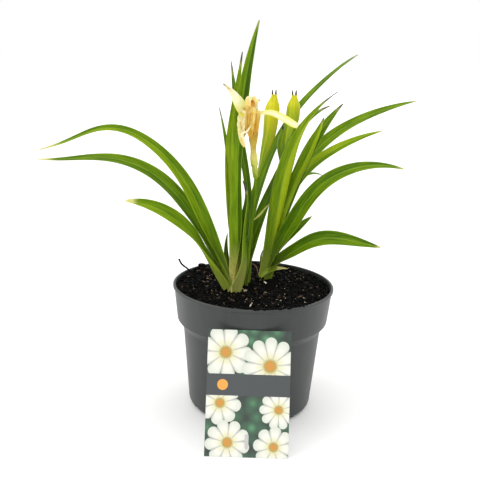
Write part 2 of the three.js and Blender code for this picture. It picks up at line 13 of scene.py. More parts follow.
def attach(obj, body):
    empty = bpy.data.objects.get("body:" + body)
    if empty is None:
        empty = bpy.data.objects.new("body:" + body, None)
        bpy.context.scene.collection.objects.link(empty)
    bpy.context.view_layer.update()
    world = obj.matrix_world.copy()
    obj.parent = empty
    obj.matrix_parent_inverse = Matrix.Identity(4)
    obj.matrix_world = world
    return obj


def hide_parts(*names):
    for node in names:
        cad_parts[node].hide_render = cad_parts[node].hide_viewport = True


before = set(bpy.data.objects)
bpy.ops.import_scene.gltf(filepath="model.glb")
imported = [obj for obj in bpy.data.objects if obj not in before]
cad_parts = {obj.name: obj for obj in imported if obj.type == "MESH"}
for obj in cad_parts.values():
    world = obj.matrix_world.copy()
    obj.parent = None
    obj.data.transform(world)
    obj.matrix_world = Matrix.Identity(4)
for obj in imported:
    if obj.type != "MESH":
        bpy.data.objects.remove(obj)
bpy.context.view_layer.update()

# ------------------------------------------------------------------------------------ studio
# A pale, matt studio floor under a sky of lit white cloth. Four very wide, soft lights stand at the
# left, at the right, above and in front, so shadows are faint and lie close to the pot.
MM = 0.001
CAMERA_PLACE = (-15.1, -771.6, 382.4)
CAMERA_PITCH = 15.0               # degrees below level
CAMERA_ROLL = 1.85
CAMERA_LENS = 58.86               # on Blender's 36 mm sensor
FLOOR_RADIUS = 9000
FLOOR_SIDES = 64
SKY_FRONT = 0.75                  # the cloth's light on the camera's side
SOFT_BOXES = {                    # way to the box, its spread in degrees, its power
    "soft_box_left": ((-0.75, -0.15, 0.7), 50, 1.0),
    "soft_box_right": ((0.8, 0.1, 0.6), 50, 0.7),
    "soft_box_above": ((0.1, 0.35, 1.0), 60, 0.6),
    "soft_box_front": ((-0.2, -0.9, 0.45), 60, 0.7),
}


def linear(colour):
    """An sRGB hex colour as the linear RGBA that shaders take."""
    shares = [int(colour[place:place + 2], 16) / 255 for place in (1, 3, 5)]
    return tuple(s / 12.92 if s <= 0.04045 else ((s + 0.055) / 1.055) ** 2.4 for s in shares) + (1.0,)


def add_node(tree, kind, inputs=None, stops=(), output=None, **settings):
    """Adds a node and gives its output, the first in use unless another is named. inputs are values or
    sockets to link from, and stops are a colour ramp's own."""
    made = tree.nodes.new("ShaderNode" + kind)
    for name, value in settings.items():
        setattr(made, name, value)
    for name, value in (inputs or {}).items():
        if isinstance(value, bpy.types.NodeSocket):
            tree.links.new(value, made.inputs[name])
        else:
            made.inputs[name].default_value = value
    for number, (place, colour) in enumerate(stops):
        stop = made.color_ramp.elements[number] if number < 2 else made.color_ramp.elements.new(place)
        stop.position = place
        stop.color = linear(colour)
    if output:
        return made.outputs[output]
    return next((socket for socket in made.outputs if socket.enabled), None)


def new_material(name):
    """A material and its node tree, which is empty."""
    material = bpy.data.materials.new(name)
    material.use_nodes = True
    material.node_tree.nodes.clear()
    return material, material.node_tree


def new_object(name, vertices, faces, material, sharp=180):
    """A smooth-shaded mesh object, from millimetres. Edges of more than sharp degrees stay hard."""
    mesh = bpy.data.meshes.new(name)
    mesh.from_pydata((np.asarray(vertices, float) * MM).tolist(), [], faces)
    mesh.validate()
    mesh.shade_smooth()
    if sharp < 180:
        mesh.set_sharp_from_angle(angle=math.radians(sharp))
    mesh.materials.append(material)
    made = bpy.data.objects.new(name, mesh)
    bpy.context.scene.collection.objects.link(made)
    return made


camera = bpy.data.objects.new("camera", bpy.data.cameras.new("camera"))
camera.data.lens = CAMERA_LENS
camera.data.clip_start = 0.05
camera.data.clip_end = 50
camera.matrix_world = (
    Matrix.Translation(Vector(CAMERA_PLACE) * MM)
    @ Matrix.Rotation(math.radians(90 - CAMERA_PITCH), 4, "X")
    @ Matrix.Rotation(math.radians(CAMERA_ROLL), 4, "Z"))
bpy.context.scene.collection.objects.link(camera)
bpy.context.scene.camera = camera
bpy.context.scene.view_settings.view_transform = "Standard"

# Matt white vinyl: no gloss, a trace of cream.
floor_vinyl, tree = new_material("studio_vinyl")
grain = add_node(tree, "TexNoise", {"Scale": 9.0, "Detail": 3.0})
tint = add_node(tree, "ValToRGB", {"Fac": grain}, stops=[(0.3, "#f3f2f0"), (0.7, "#f8f8f7")])
skin = add_node(tree, "BsdfPrincipled", {"Base Color": tint, "Roughness": 0.8, "Specular IOR Level": 0.1})
add_node(tree, "OutputMaterial", {"Surface": skin})

rim = [(FLOOR_RADIUS * math.cos(a), FLOOR_RADIUS * math.sin(a), 0)
       for a in 2 * math.pi * np.arange(FLOOR_SIDES) / FLOOR_SIDES]
floor = new_object("studio_floor", rim, [list(range(FLOOR_SIDES))], floor_vinyl)

# The sky is lit white cloth: full white behind the plant, dimmer on the camera's side.
world = bpy.data.worlds.new("white_cloth")
world.use_nodes = True
tree = world.node_tree
way = add_node(tree, "TexCoord", output="Generated")
behind = add_node(tree, "SeparateXYZ", {"Vector": way}, output="Y")
cloth_light = add_node(tree, "MapRange", {
    "Value": behind, "From Min": -0.4, "From Max": 0.3, "To Min": SKY_FRONT}, interpolation_type="SMOOTHSTEP")
tree.links.new(cloth_light, tree.nodes["Background"].inputs["Strength"])
tree.nodes["Background"].inputs["Color"].default_value = (1.0, 1.0, 1.0, 1)
bpy.context.scene.world = world

for name, (towards, spread, power) in SOFT_BOXES.items():
    lamp = bpy.data.lights.new(name, "SUN")
    lamp.angle = math.radians(spread)
    lamp.energy = power
    box = bpy.data.objects.new(name, lamp)
    box.rotation_euler = Vector(towards).to_track_quat("Z", "Y").to_euler()
    bpy.context.scene.collection.objects.link(box)

# ------------------------------------------------------------------------------------ pot
# A two-litre nursery pot, injection moulded in one shot from grey recycled polypropylene: a thin
# sloping wall, a wider collar above a step, a rolled lip, and drain holes round the foot.
POT_SEGMENTS = 144
POT_HEIGHT = 130
LIP_RADIUS = 82.5
POT_PROFILE = [                   # radius, height, rounding of each corner
    (30, 0, 0.8), (33, 3, 0.8), (49, 3, 0.8), (52, 0, 0.8), (63.5, 0, 7.5), (71.2, 86, 5), (77.5, 94.2, 3),
    (81.1, 126.6, 1), (LIP_RADIUS, 127.2, 0.7), (LIP_RADIUS, POT_HEIGHT, 1.1), (79.9, POT_HEIGHT, 0.8),
    (76.1, 95.6, 4), (69.7, 86.8, 4), (62.1, 1.5, 6), (52, 1.5, 0.5), (49, 4.5, 0.5), (33, 4.5, 0.5),
    (30, 1.5, 0.5)]
ARC_STEPS = 5                     # in each rounded corner
DRAIN_COUNT = 8
DRAIN_RADIUS = 4
DRAIN_REACH = 60.2                # from the axis to the middle of each hole
DRAIN_TURN = 0.67                 # of the way from one hole to the next
DRILL_HEIGHTS = (-2, 5.5)         # from under the foot to well inside
DRILL_SIDES = 20


def rounded_outline(corners):
    """The outline through the corners, each cut by an arc that touches both its sides."""
    outline = []
    for number, (r, z, radius) in enumerate(corners):
        corner = np.array((r, z), float)
        sides = []
        for other in (number - 1, number + 1):
            if 0 <= other < len(corners):
                way = np.array(corners[other][:2], float) - corner
            else:
                way = np.array((-1.0, 0.0))
            sides.append(way / np.linalg.norm(way))
        half = math.acos(max(-1, min(1, float(sides[0] @ sides[1])))) / 2
        back = radius / math.tan(half)
        inward = sides[0] + sides[1]
        centre = corner + inward / np.linalg.norm(inward) * radius / math.sin(half)
        start, end = (corner + side * back - centre for side in sides)
        sweep = math.pi - 2 * half
        for step in range(ARC_STEPS + 1):
            share = step / ARC_STEPS
            blend = (math.sin((1 - share) * sweep) * start + math.sin(share * sweep) * end) / math.sin(sweep)
            outline.append(centre + blend)
    return outline


def ring_faces(rings, sides, ends="flat"):
    """Faces over rings of vertices. Each end is one flat face, or a fan of triangles to one of the two
    vertices that follow the rings, or with None it stays open."""
    faces = []
    for low in range(0, (rings - 1) * sides, sides):
        for side in range(sides):
            after = (side + 1) % sides
            faces.append((low + side, low + after, low + sides + after, low + sides + side))
    top = (rings - 1) * sides
    if ends == "flat":
        faces += [tuple(reversed(range(sides))), tuple(range(top, top + sides))]
    elif ends == "fan":
        for side in range(sides):
            after = (side + 1) % sides
            faces += [(top + sides, after, side), (top + sides + 1, top + side, top + after)]
    return faces


def circle(radius, z, sides):
    """A ring of points at one height, round the middle."""
    return [(radius * math.cos(a), radius * math.sin(a), z) for a in 2 * math.pi * np.arange(sides) / sides]


def join(vertices, faces, more, more_faces):
    """Adds another closed shape to a mesh's lists."""
    faces += [tuple(len(vertices) + corner for corner in face) for face in more_faces]
    vertices += more


def stretched_noise(tree, space, scale, detail, roughness=0.5, shift=(0, 0, 0)):
    """Noise with a scale for each axis, so that it is drawn out where the scale is small."""
    stretched = add_node(tree, "Mapping", {"Vector": space, "Scale": scale, "Location": shift})
    return add_node(tree, "TexNoise", {
        "Vector": stretched, "Scale": 1.0, "Detail": detail, "Roughness": roughness})


# Recycled polypropylene: satin, with a fine moulded grain, faint flow streaks down the wall, and
# a little dried soil in the corner under the lip.
pot_plastic, tree = new_material("recycled_polypropylene")
place = add_node(tree, "TexCoord", output="Object")
height = add_node(tree, "SeparateXYZ", {"Vector": place}, output="Z")
flow = stretched_noise(tree, place, (60, 60, 7), 4.0, 0.6)
cloud = add_node(tree, "TexNoise", {"Vector": place, "Scale": 28.0, "Detail": 5.0})
body = add_node(tree, "ValToRGB", {"Fac": flow}, stops=[(0.3, "#2a2e2e"), (0.7, "#323736")])
dull = add_node(tree, "Mix", {0: 0.25, 6: body, 7: cloud}, data_type="RGBA", blend_type="MULTIPLY")
specks = add_node(tree, "TexNoise", {"Vector": place, "Scale": 420.0, "Detail": 2.0})
near_lip = add_node(tree, "MapRange", {
    "Value": height, "From Min": 0.112, "From Max": 0.131, "To Max": 0.14}, interpolation_type="SMOOTHSTEP")
speck_level = add_node(tree, "Math", {0: specks, 1: near_lip}, operation="ADD")
dirt = add_node(tree, "MapRange", {"Value": speck_level, "From Min": 0.78, "From Max": 0.86, "To Max": 0.8})
soiled = add_node(tree, "Mix", {0: dirt, 6: dull, 7: linear("#2a211a")}, data_type="RGBA")
grain = add_node(tree, "TexNoise", {"Vector": place, "Scale": 2200.0, "Detail": 2.0})
relief = add_node(tree, "Bump", {"Height": grain, "Strength": 0.08, "Distance": 0.0002})
rough = add_node(tree, "MapRange", {"Value": cloud, "To Min": 0.36, "To Max": 0.52})
skin = add_node(tree, "BsdfPrincipled", {
    "Base Color": soiled, "Roughness": rough, "IOR": 1.49, "Normal": relief})
add_node(tree, "OutputMaterial", {"Surface": skin})

outline = rounded_outline(POT_PROFILE)
vertices = [corner for r, z in outline for corner in circle(r, z, POT_SEGMENTS)]
vertices += [(0, 0, outline[0][1]), (0, 0, outline[-1][1])]
faces = ring_faces(len(outline), POT_SEGMENTS, ends="fan")
pot = new_object("pot_moulding", vertices, faces, pot_plastic, sharp=40)
vertices, faces = [], []
for count in range(DRAIN_COUNT):
    angle = 2 * math.pi * (count + DRAIN_TURN) / DRAIN_COUNT
    middle = Vector((DRAIN_REACH * math.cos(angle), DRAIN_REACH * math.sin(angle), 0))
    rod = [middle + Vector(corner) for z in DRILL_HEIGHTS for corner in circle(DRAIN_RADIUS, z, DRILL_SIDES)]
    join(vertices, faces, rod, ring_faces(2, DRILL_SIDES))
drill = new_object("drain_drill", vertices, faces, pot_plastic)
holes = pot.modifiers.new("drain_holes", "BOOLEAN")
holes.object = drill
holes.operation = "DIFFERENCE"
holes.solver = "EXACT"
bpy.context.view_layer.objects.active = pot
bpy.ops.object.modifier_apply(modifier="drain_holes")
bpy.data.objects.remove(drill)
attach(pot, "root")
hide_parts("pot")

# ------------------------------------------------------------------------------------ soil
# Moist, peat-based potting mix, loosely filled to the lip: a lumpy black crumb with bits of bark and
# bleached chips lying on it, and some crumbs spilt on the front of the lip.
SOIL_LEVEL = 125.2
SOIL_TILT = 2.6                   # higher at the back than at the middle
SOIL_RADIUS = 79.2
SOIL_FOOT = 6
SOIL_OUTLINE = [                  # radius and height, up the inside of the pot
    (55, 5.5), (61, 8.5), (69.0, 86.8), (75.4, 96), (78.7, 123)]
SOIL_RINGS = 70
SOIL_SEGMENTS = 190


def soil_height(x, y):
    """The settled surface before its crumbs, by place."""
    return (SOIL_LEVEL + SOIL_TILT * y / LIP_RADIUS
            + 0.9 * math.sin(x / 7.3 + 1.1) * math.cos(y / 6.1)
            + 0.6 * math.sin(x / 3.9 - y / 4.7)
            + 2.2 * math.exp(-(((x + 57) / 14) ** 2) - ((y - 50) / 12) ** 2)
            - 1.2 * math.exp(-(((x + 20) / 22) ** 2) - ((y + 14) / 12) ** 2))


def crumbly_height(x, y):
    """The surface with its lumps: three sizes, down to about 1 mm."""
    lumps = (1.1 * noise.noise((x / 9, y / 9, 0)) + 0.8 * noise.noise((x / 3.6, y / 3.6, 5))
             + 0.45 * noise.noise((x / 1.5, y / 1.5, 9)))
    return soil_height(x, y) + lumps


def mottled_material(name, scale, detail, stops, roughness, specular=0.5, relief=0.0):
    """Matt matter in uneven tones, with noise of the given scale to a metre. Relief is in millimetres."""
    made, tree = new_material(name)
    place = add_node(tree, "TexCoord", output="Object")
    mottle = add_node(tree, "TexNoise", {"Vector": place, "Scale": scale, "Detail": detail})
    body = add_node(tree, "ValToRGB", {"Fac": mottle}, stops=stops)
    finish = {"Base Color": body, "Roughness": roughness, "Specular IOR Level": specular}
    if relief:
        depth = {"Height": mottle, "Strength": 0.7, "Distance": relief * MM}
        finish["Normal"] = add_node(tree, "Bump", depth)
    skin = add_node(tree, "BsdfPrincipled", finish)
    add_node(tree, "OutputMaterial", {"Surface": skin})
    return made


# Peat crumb: black and damp, dull all over and rough down to its smallest crumbs.
peat = mottled_material("moist_peat", 260.0, 6.0, [
    (0.35, "#010101"), (0.58, "#040302"), (0.74, "#110e0a"), (0.88, "#3f3527")], 0.75, 0.08, relief=0.8)

vertices = [corner for r, z in SOIL_OUTLINE for corner in circle(r, z, SOIL_SEGMENTS)]
for ring in range(SOIL_RINGS):
    for x, y, _ in circle(SOIL_RADIUS * (1 - ring / SOIL_RINGS), 0, SOIL_SEGMENTS):
        vertices.append((x, y, crumbly_height(x, y)))
vertices += [(0, 0, SOIL_FOOT), (0, 0, crumbly_height(0, 0))]
faces = ring_faces(len(SOIL_OUTLINE) + SOIL_RINGS, SOIL_SEGMENTS, ends="fan")
soil = new_object("soil_bed", vertices, faces, peat)
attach(soil, "root")
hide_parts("soil")

# Loose crumbs: torn lumps of the same peat, 1 to 4 mm across. Each starts as a regular body of twenty
# triangles.
SCATTER_RADIUS = 0.985 * SOIL_RADIUS
SOIL_EDGE = 79.5                  # past this radius a crumb lies on the lip
SPILL_REACH = (78.5, 81.6)
SPILL_SPAN = (-100, -45, -66)     # degrees: from, to, and where most spilt crumbs lie
GOLDEN = (1 + math.sqrt(5)) / 2
LUMP_EDGE = 1.1                   # corners closer than this are joined
pairs = [(s, t) for s in (-1, 1) for t in (-GOLDEN, GOLDEN)]
LUMP_CORNERS = np.array([(s, t, 0) for s, t in pairs] + [(0, s, t) for s, t in pairs]
                        + [(t, 0, s) for s, t in pairs]) / math.hypot(1, GOLDEN)
LUMP_FACES = [
    (a, b, c) for a in range(12) for b in range(a + 1, 12) for c in range(b + 1, 12)
    if all(np.linalg.norm(LUMP_CORNERS[p] - LUMP_CORNERS[q]) < LUMP_EDGE
           for p, q in ((a, b), (b, c), (a, c)))]
# Each face is turned outward.
LUMP_FACES = [
    face if np.linalg.det(LUMP_CORNERS[list(face)]) > 0 else face[::-1] for face in LUMP_FACES]


def scatter(name, count, seed, size, material, stretch=(1, 1, 0.8), edge_share=0.0):
    """Loose bits on the soil as one piece: lumps of the given radii, most of them small, each stretched
    along its own axes. The share at the edge is spilt on the lip."""
    draw = random.Random(seed)
    vertices, faces = [], []
    for _ in range(count):
        r = SCATTER_RADIUS * math.sqrt(draw.random())
        a = draw.uniform(0, 2 * math.pi)
        if draw.random() < edge_share:
            r = draw.uniform(*SPILL_REACH)
            a = math.radians(draw.triangular(*SPILL_SPAN))
        x, y = r * math.cos(a), r * math.sin(a)
        ground = crumbly_height(x, y) if r < SOIL_EDGE else POT_HEIGHT
        radius = size[0] + (size[1] - size[0]) * draw.random() ** 2.5
        spin = Matrix.Rotation(draw.uniform(0, 2 * math.pi), 3, "Z") @ Matrix.Rotation(
            draw.uniform(-0.6, 0.6), 3, "Y") @ Matrix.Rotation(draw.uniform(0, 3), 3, "X")
        # About a third of its height is under the surface.
        middle = Vector((x, y, ground + radius * stretch[2] * 0.35))
        lump = []
        for corner in LUMP_CORNERS:
            bent = Vector([c * s * radius * draw.uniform(0.65, 1.2) for c, s in zip(corner, stretch)])
            lump.append(middle + spin @ bent)
        join(vertices, faces, lump, LUMP_FACES)
    bits = new_object(name, vertices, faces, material, sharp=30)
    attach(bits, "root")


scatter("soil_crumbs", 5200, 11, (0.45, 2.0), peat, edge_share=0.012)

# Composted bark: dull red-brown flakes.
bark = mottled_material("composted_bark", 120.0, 4.0, [
    (0.35, "#2a1a10"), (0.55, "#4a3321"), (0.7, "#6b523a")], 0.85)
scatter("bark_bits", 330, 23, (0.7, 1.9), bark, stretch=(1.7, 0.7, 0.5))

# Bleached chips and husks: pale, dry and papery.
husk = mottled_material("bleached_husk", 180.0, 3.0, [
    (0.35, "#7d7058"), (0.55, "#b9ab8c"), (0.7, "#e6dcc0")], 0.7)
scatter("pale_chips", 230, 37, (0.5, 1.4), husk, stretch=(1.9, 0.5, 0.35))

# ------------------------------------------------------------------------------------ leaves
# Strap leaves in three fans. Each is folded along its keel, clasps its neighbours at the foot, and
# opens into a ribbed, arching blade; the fold eases out towards a narrow tip, often dry.
ROOT_LEVEL = 116
LEAF_THICKNESS = 0.7
LEAF_STATIONS = 11
STEPS_PER_STATION = 6
WING_POINTS = 8                   # across each half of a leaf
TIP_SHARE = 0.08                  # no part of a leaf is narrower than this share of its width


def along(values, t):
    """A smooth curve through equally spaced values, read at t from 0 to 1."""
    if len(values) == 1:
        return values[0]
    last = len(values) - 1
    span = min(int(t * last), last - 1)
    f = t * last - span
    a, b = values[span], values[span + 1]
    before = values[span - 1] if span > 0 else 2 * a - b
    after = values[span + 2] if span < last - 1 else 2 * b - a
    return 0.5 * (2 * a + (b - before) * f + (2 * before - 5 * a + 4 * b - after) * f * f
                  + (after - before + 3 * (a - b)) * f ** 3)


def smooth_step(value, low, high):
    """0 up to low, 1 from high on, and a smooth rise between them."""
    share = min(max((value - low) / (high - low), 0), 1)
    return share * share * (3 - 2 * share)


def blade(root, heading, lean, length, width, roll=(0,), base=0.7, peak=0.35, taper=1.7, tip=TIP_SHARE,
          fold=(60, 20), thickness=LEAF_THICKNESS, stations=LEAF_STATIONS, cup=0.07, wave=0.5, seed=0,
          crumple=0.0):
    """A folded blade: vertices, faces, and for each vertex its share across and along and its mm."""
    draw = random.Random(seed)
    phases = [draw.uniform(0, 6.28) for _ in range(3)]
    steps = stations * STEPS_PER_STATION
    point = Vector(root)
    vertices, places = [], []
    across_shares = [side / WING_POINTS for side in range(-WING_POINTS, WING_POINTS + 1)]
    for step in range(steps + 1):
        t = step / steps
        theta, phi = math.radians(along(lean, t)), math.radians(along(heading, t))
        forward = Vector((math.sin(theta) * math.cos(phi), math.sin(theta) * math.sin(phi), math.cos(theta)))
        if step:
            point = point + forward * (length / steps)
        across = Matrix.Rotation(math.radians(along(roll, t)), 3, forward) @ Vector(
            (-math.sin(phi), math.cos(phi), 0))
        inner = forward.cross(across)
        if t < peak:
            rise = base + (1 - base) * math.sin(math.pi / 2 * t / peak)
        else:
            rise = max(1 - (1 - tip) * ((t - peak) / (1 - peak)) ** taper, TIP_SHARE)
        reach = width / 2 * rise
        wing = math.radians(fold[0] + (fold[1] - fold[0]) * smooth_step(t, 0, 0.4))
        run = t * length
        # Each edge waves about every 107 mm, more and less by turns, and less where the blade is narrow.
        waving = wave * smooth_step(t, 0.1, 0.4) * min(1, reach / 5) * (
            0.6 + 0.4 * math.sin(run / 41 + phases[2]))
        over, under = [], []
        for u in across_shares:
            bow = -cup * reach * math.sin(math.pi * abs(u))
            ruffle = waving * u * u * math.sin(run / 17 + phases[0 if u < 0 else 1])
            # A wilted blade is crumpled in folds of 2 to 3 mm.
            crush = crumple * noise.noise((u * reach / 2.2 + seed, run / 3.1, seed * 1.7))
            middle = (point + across * (u * reach * math.cos(wing))
                      + inner * (abs(u) * reach * math.sin(wing) + bow + ruffle + crush))
            lean_out = inner * math.cos(wing) - across * (math.copysign(math.sin(wing), u) if u else 0)
            # It thins towards its edges and tip, and its keel stands up to 0.3 mm proud underneath.
            half = thickness / 2 * (1 - 0.55 * u * u) * min(1, 0.25 + reach / 2.5)
            keel = 0.3 * math.exp(-(u * reach / 0.7) ** 2) * (1 - t)
            over.append(middle + lean_out * half)
            under.append(middle - lean_out * (half + keel))
        vertices += under + over[::-1]
        row = [(u, t, u * reach, run) for u in across_shares]
        places += row + row[::-1]
    ring_size = 2 * len(across_shares)
    faces = ring_faces(steps + 1, ring_size, ends=None)
    top = steps * ring_size
    for low in range(len(across_shares) - 1):
        high = ring_size - 1 - low
        faces.append((high, high - 1, low + 1, low))
        faces.append((top + low, top + low + 1, top + high - 1, top + high))
    return vertices, faces, places


def store(piece, name, vectors):
    """Keeps a vector for each vertex of the piece, where its material reads them."""
    kept = piece.data.attributes.new(name, "FLOAT_VECTOR", "POINT")
    kept.data.foreach_set("vector", [value for vector in vectors for value in vector])


def mark_places(piece, places, traits, grey=0.0, wing_shading=(0, 0)):
    """Stores where each vertex lies on its blade, the painted light and shade on each of its two wings, and
    the whole blade's traits.
    """
    store(piece, "blade_share", [(u, t, grey) for u, t, _, _ in places])
    store(piece, "blade_mm", [(x, y, wing_shading[0] if u < 0 else wing_shading[1] if u > 0 else sum(wing_shading) / 2)
                              for u, _, x, y in places])
    store(piece, "blade_traits", [traits] * len(places))


def stored_vector(tree, name):
    """The stored vector as the material reads it, and its three parts."""
    vector = add_node(tree, "Attribute", attribute_name=name, output="Vector")
    return vector, add_node(tree, "SeparateXYZ", {"Vector": vector}).node.outputs


def stain(tree, under, colour, value, start, end, first=0.0, last=1.0):
    """Lays a colour over another. Its cover goes from first to last as the value goes from start to end."""
    cover = add_node(tree, "MapRange", {
        "Value": value, "From Min": start, "From Max": end, "To Min": first, "To Max": last},
        interpolation_type="SMOOTHSTEP")
    return add_node(tree, "Mix", {0: cover, 6: under, 7: linear(colour)}, data_type="RGBA")


# Living leaf: waxy, satin green with a rib every millimetre, a pale keel line and a painted highlight
# along each edge. It lets light through, so shaded parts stay yellow-green; the sheath is blanched, and
# made paler still with painted light, and the tips go straw and grey.
RIB_GAP = 1.1
leaf_tissue, tree = new_material("waxy_leaf")
share_parts = stored_vector(tree, "blade_share")[1]
in_mm, mm_parts = stored_vector(tree, "blade_mm")
traits, trait_parts = stored_vector(tree, "blade_traits")
edge = add_node(tree, "Math", {0: share_parts["X"]}, operation="ABSOLUTE")
# Ribs run the blade's length, and noise that is drawn out along it breaks them up. The leaf's traits
# shift the noise, so that no two leaves look the same.
rib_turn = add_node(tree, "Math", {0: mm_parts["X"], 1: 2 * math.pi / RIB_GAP}, operation="MULTIPLY")
rib_wave = add_node(tree, "Math", {0: rib_turn}, operation="SINE")
streaks = stretched_noise(tree, in_mm, (0.9, 0.035, 1), 4.0, 0.55, shift=traits)
patches = stretched_noise(tree, in_mm, (0.12, 0.03, 1), 2.0, shift=traits)
# The leaf's tone, plus painted light and shade: one half of a folded leaf is painted darker, as in shade, and
# the other lighter, as in light.
tone_with_wing_shade = add_node(tree, "Math", {0: trait_parts["X"], 1: mm_parts["Z"]}, operation="ADD")
ribbed = add_node(tree, "Math", {0: rib_wave, 1: 0.05, 2: tone_with_wing_shade}, operation="MULTIPLY_ADD")
patched = add_node(tree, "Math", {0: patches, 1: 0.5, 2: ribbed}, operation="MULTIPLY_ADD")
level = add_node(tree, "Math", {0: streaks, 1: 0.7, 2: patched}, operation="MULTIPLY_ADD")
green = add_node(tree, "ValToRGB", {"Fac": level}, stops=[
    (0.2, "#264202"), (0.5, "#4f7602"), (0.75, "#7c9e06"), (1.0, "#aec41c")])
off_keel = add_node(tree, "Math", {0: mm_parts["X"]}, operation="ABSOLUTE")
with_keel = stain(tree, green, "#a9c24a", off_keel, 0.25, 0.9, first=0.35, last=0.0)
# Painted highlight: a paler rim along each edge of the blade, where light catches it.
with_edge_highlight = stain(tree, with_keel, "#b4cc4e", edge, 0.86, 1.0, last=0.5)
# The sheath is blanched for the first few centimetres, and its pale colour is made lighter still as
# painted light in the shaded foot of the fan; it is flecked brown where it rubs.
sheath_level = add_node(tree, "Math", {0: streaks, 1: 22.0, 2: mm_parts["Y"]}, operation="MULTIPLY_ADD")
sheath = add_node(tree, "MapRange", {
    "Value": sheath_level, "From Min": 26.0, "From Max": 74.0, "To Min": trait_parts["Z"], "To Max": 0.0},
    interpolation_type="SMOOTHSTEP")
with_blanching_and_light = add_node(tree, "Mix", {0: sheath, 6: with_edge_highlight, 7: linear("#f6ee8e")}, data_type="RGBA")
flecks = stretched_noise(tree, in_mm, (0.9, 0.5, 1), 3.0)
fleck_mask = add_node(tree, "MapRange", {"Value": flecks, "From Min": 0.55, "From Max": 0.64, "To Max": 0.6})
fleck_here = add_node(tree, "Math", {0: fleck_mask, 1: sheath}, operation="MULTIPLY")
with_flecks = add_node(tree, "Mix", {0: fleck_here, 6: with_blanching_and_light, 7: linear("#64482a")}, data_type="RGBA")
# Dry end: straw first, from the trait's share of the length on, and on some leaves then grey-brown.
dry_level = add_node(tree, "Math", {0: streaks, 1: 0.05, 2: share_parts["Y"]}, operation="MULTIPLY_ADD")
past_dry = add_node(tree, "Math", {0: dry_level, 1: trait_parts["Y"]}, operation="SUBTRACT")
with_straw = stain(tree, with_flecks, "#e2dd90", past_dry, 0.0, 0.05)
leaf_colour = stain(tree, with_straw, "#5d5a48", past_dry, 0.01, 0.05, last=share_parts["Z"])
rib_height = add_node(tree, "Math", {0: rib_wave, 1: 0.5, 2: streaks}, operation="MULTIPLY_ADD")
relief = add_node(tree, "Bump", {"Height": rib_height, "Strength": 0.35, "Distance": 0.0003})
skin = add_node(tree, "BsdfPrincipled", {
    "Base Color": leaf_colour, "Roughness": 0.45, "IOR": 1.45, "Specular IOR Level": 0.16, "Normal": relief})
lit_through = add_node(tree, "Mix", {0: 1.0, 6: leaf_colour, 7: (1.0, 1.0, 0.5, 1)},
                       data_type="RGBA", blend_type="MULTIPLY")
glow = add_node(tree, "BsdfTranslucent", {"Color": lit_through, "Normal": relief})
tissue = add_node(tree, "MixShader", {0: 0.3, 1: skin, 2: glow})
add_node(tree, "OutputMaterial", {"Surface": tissue})
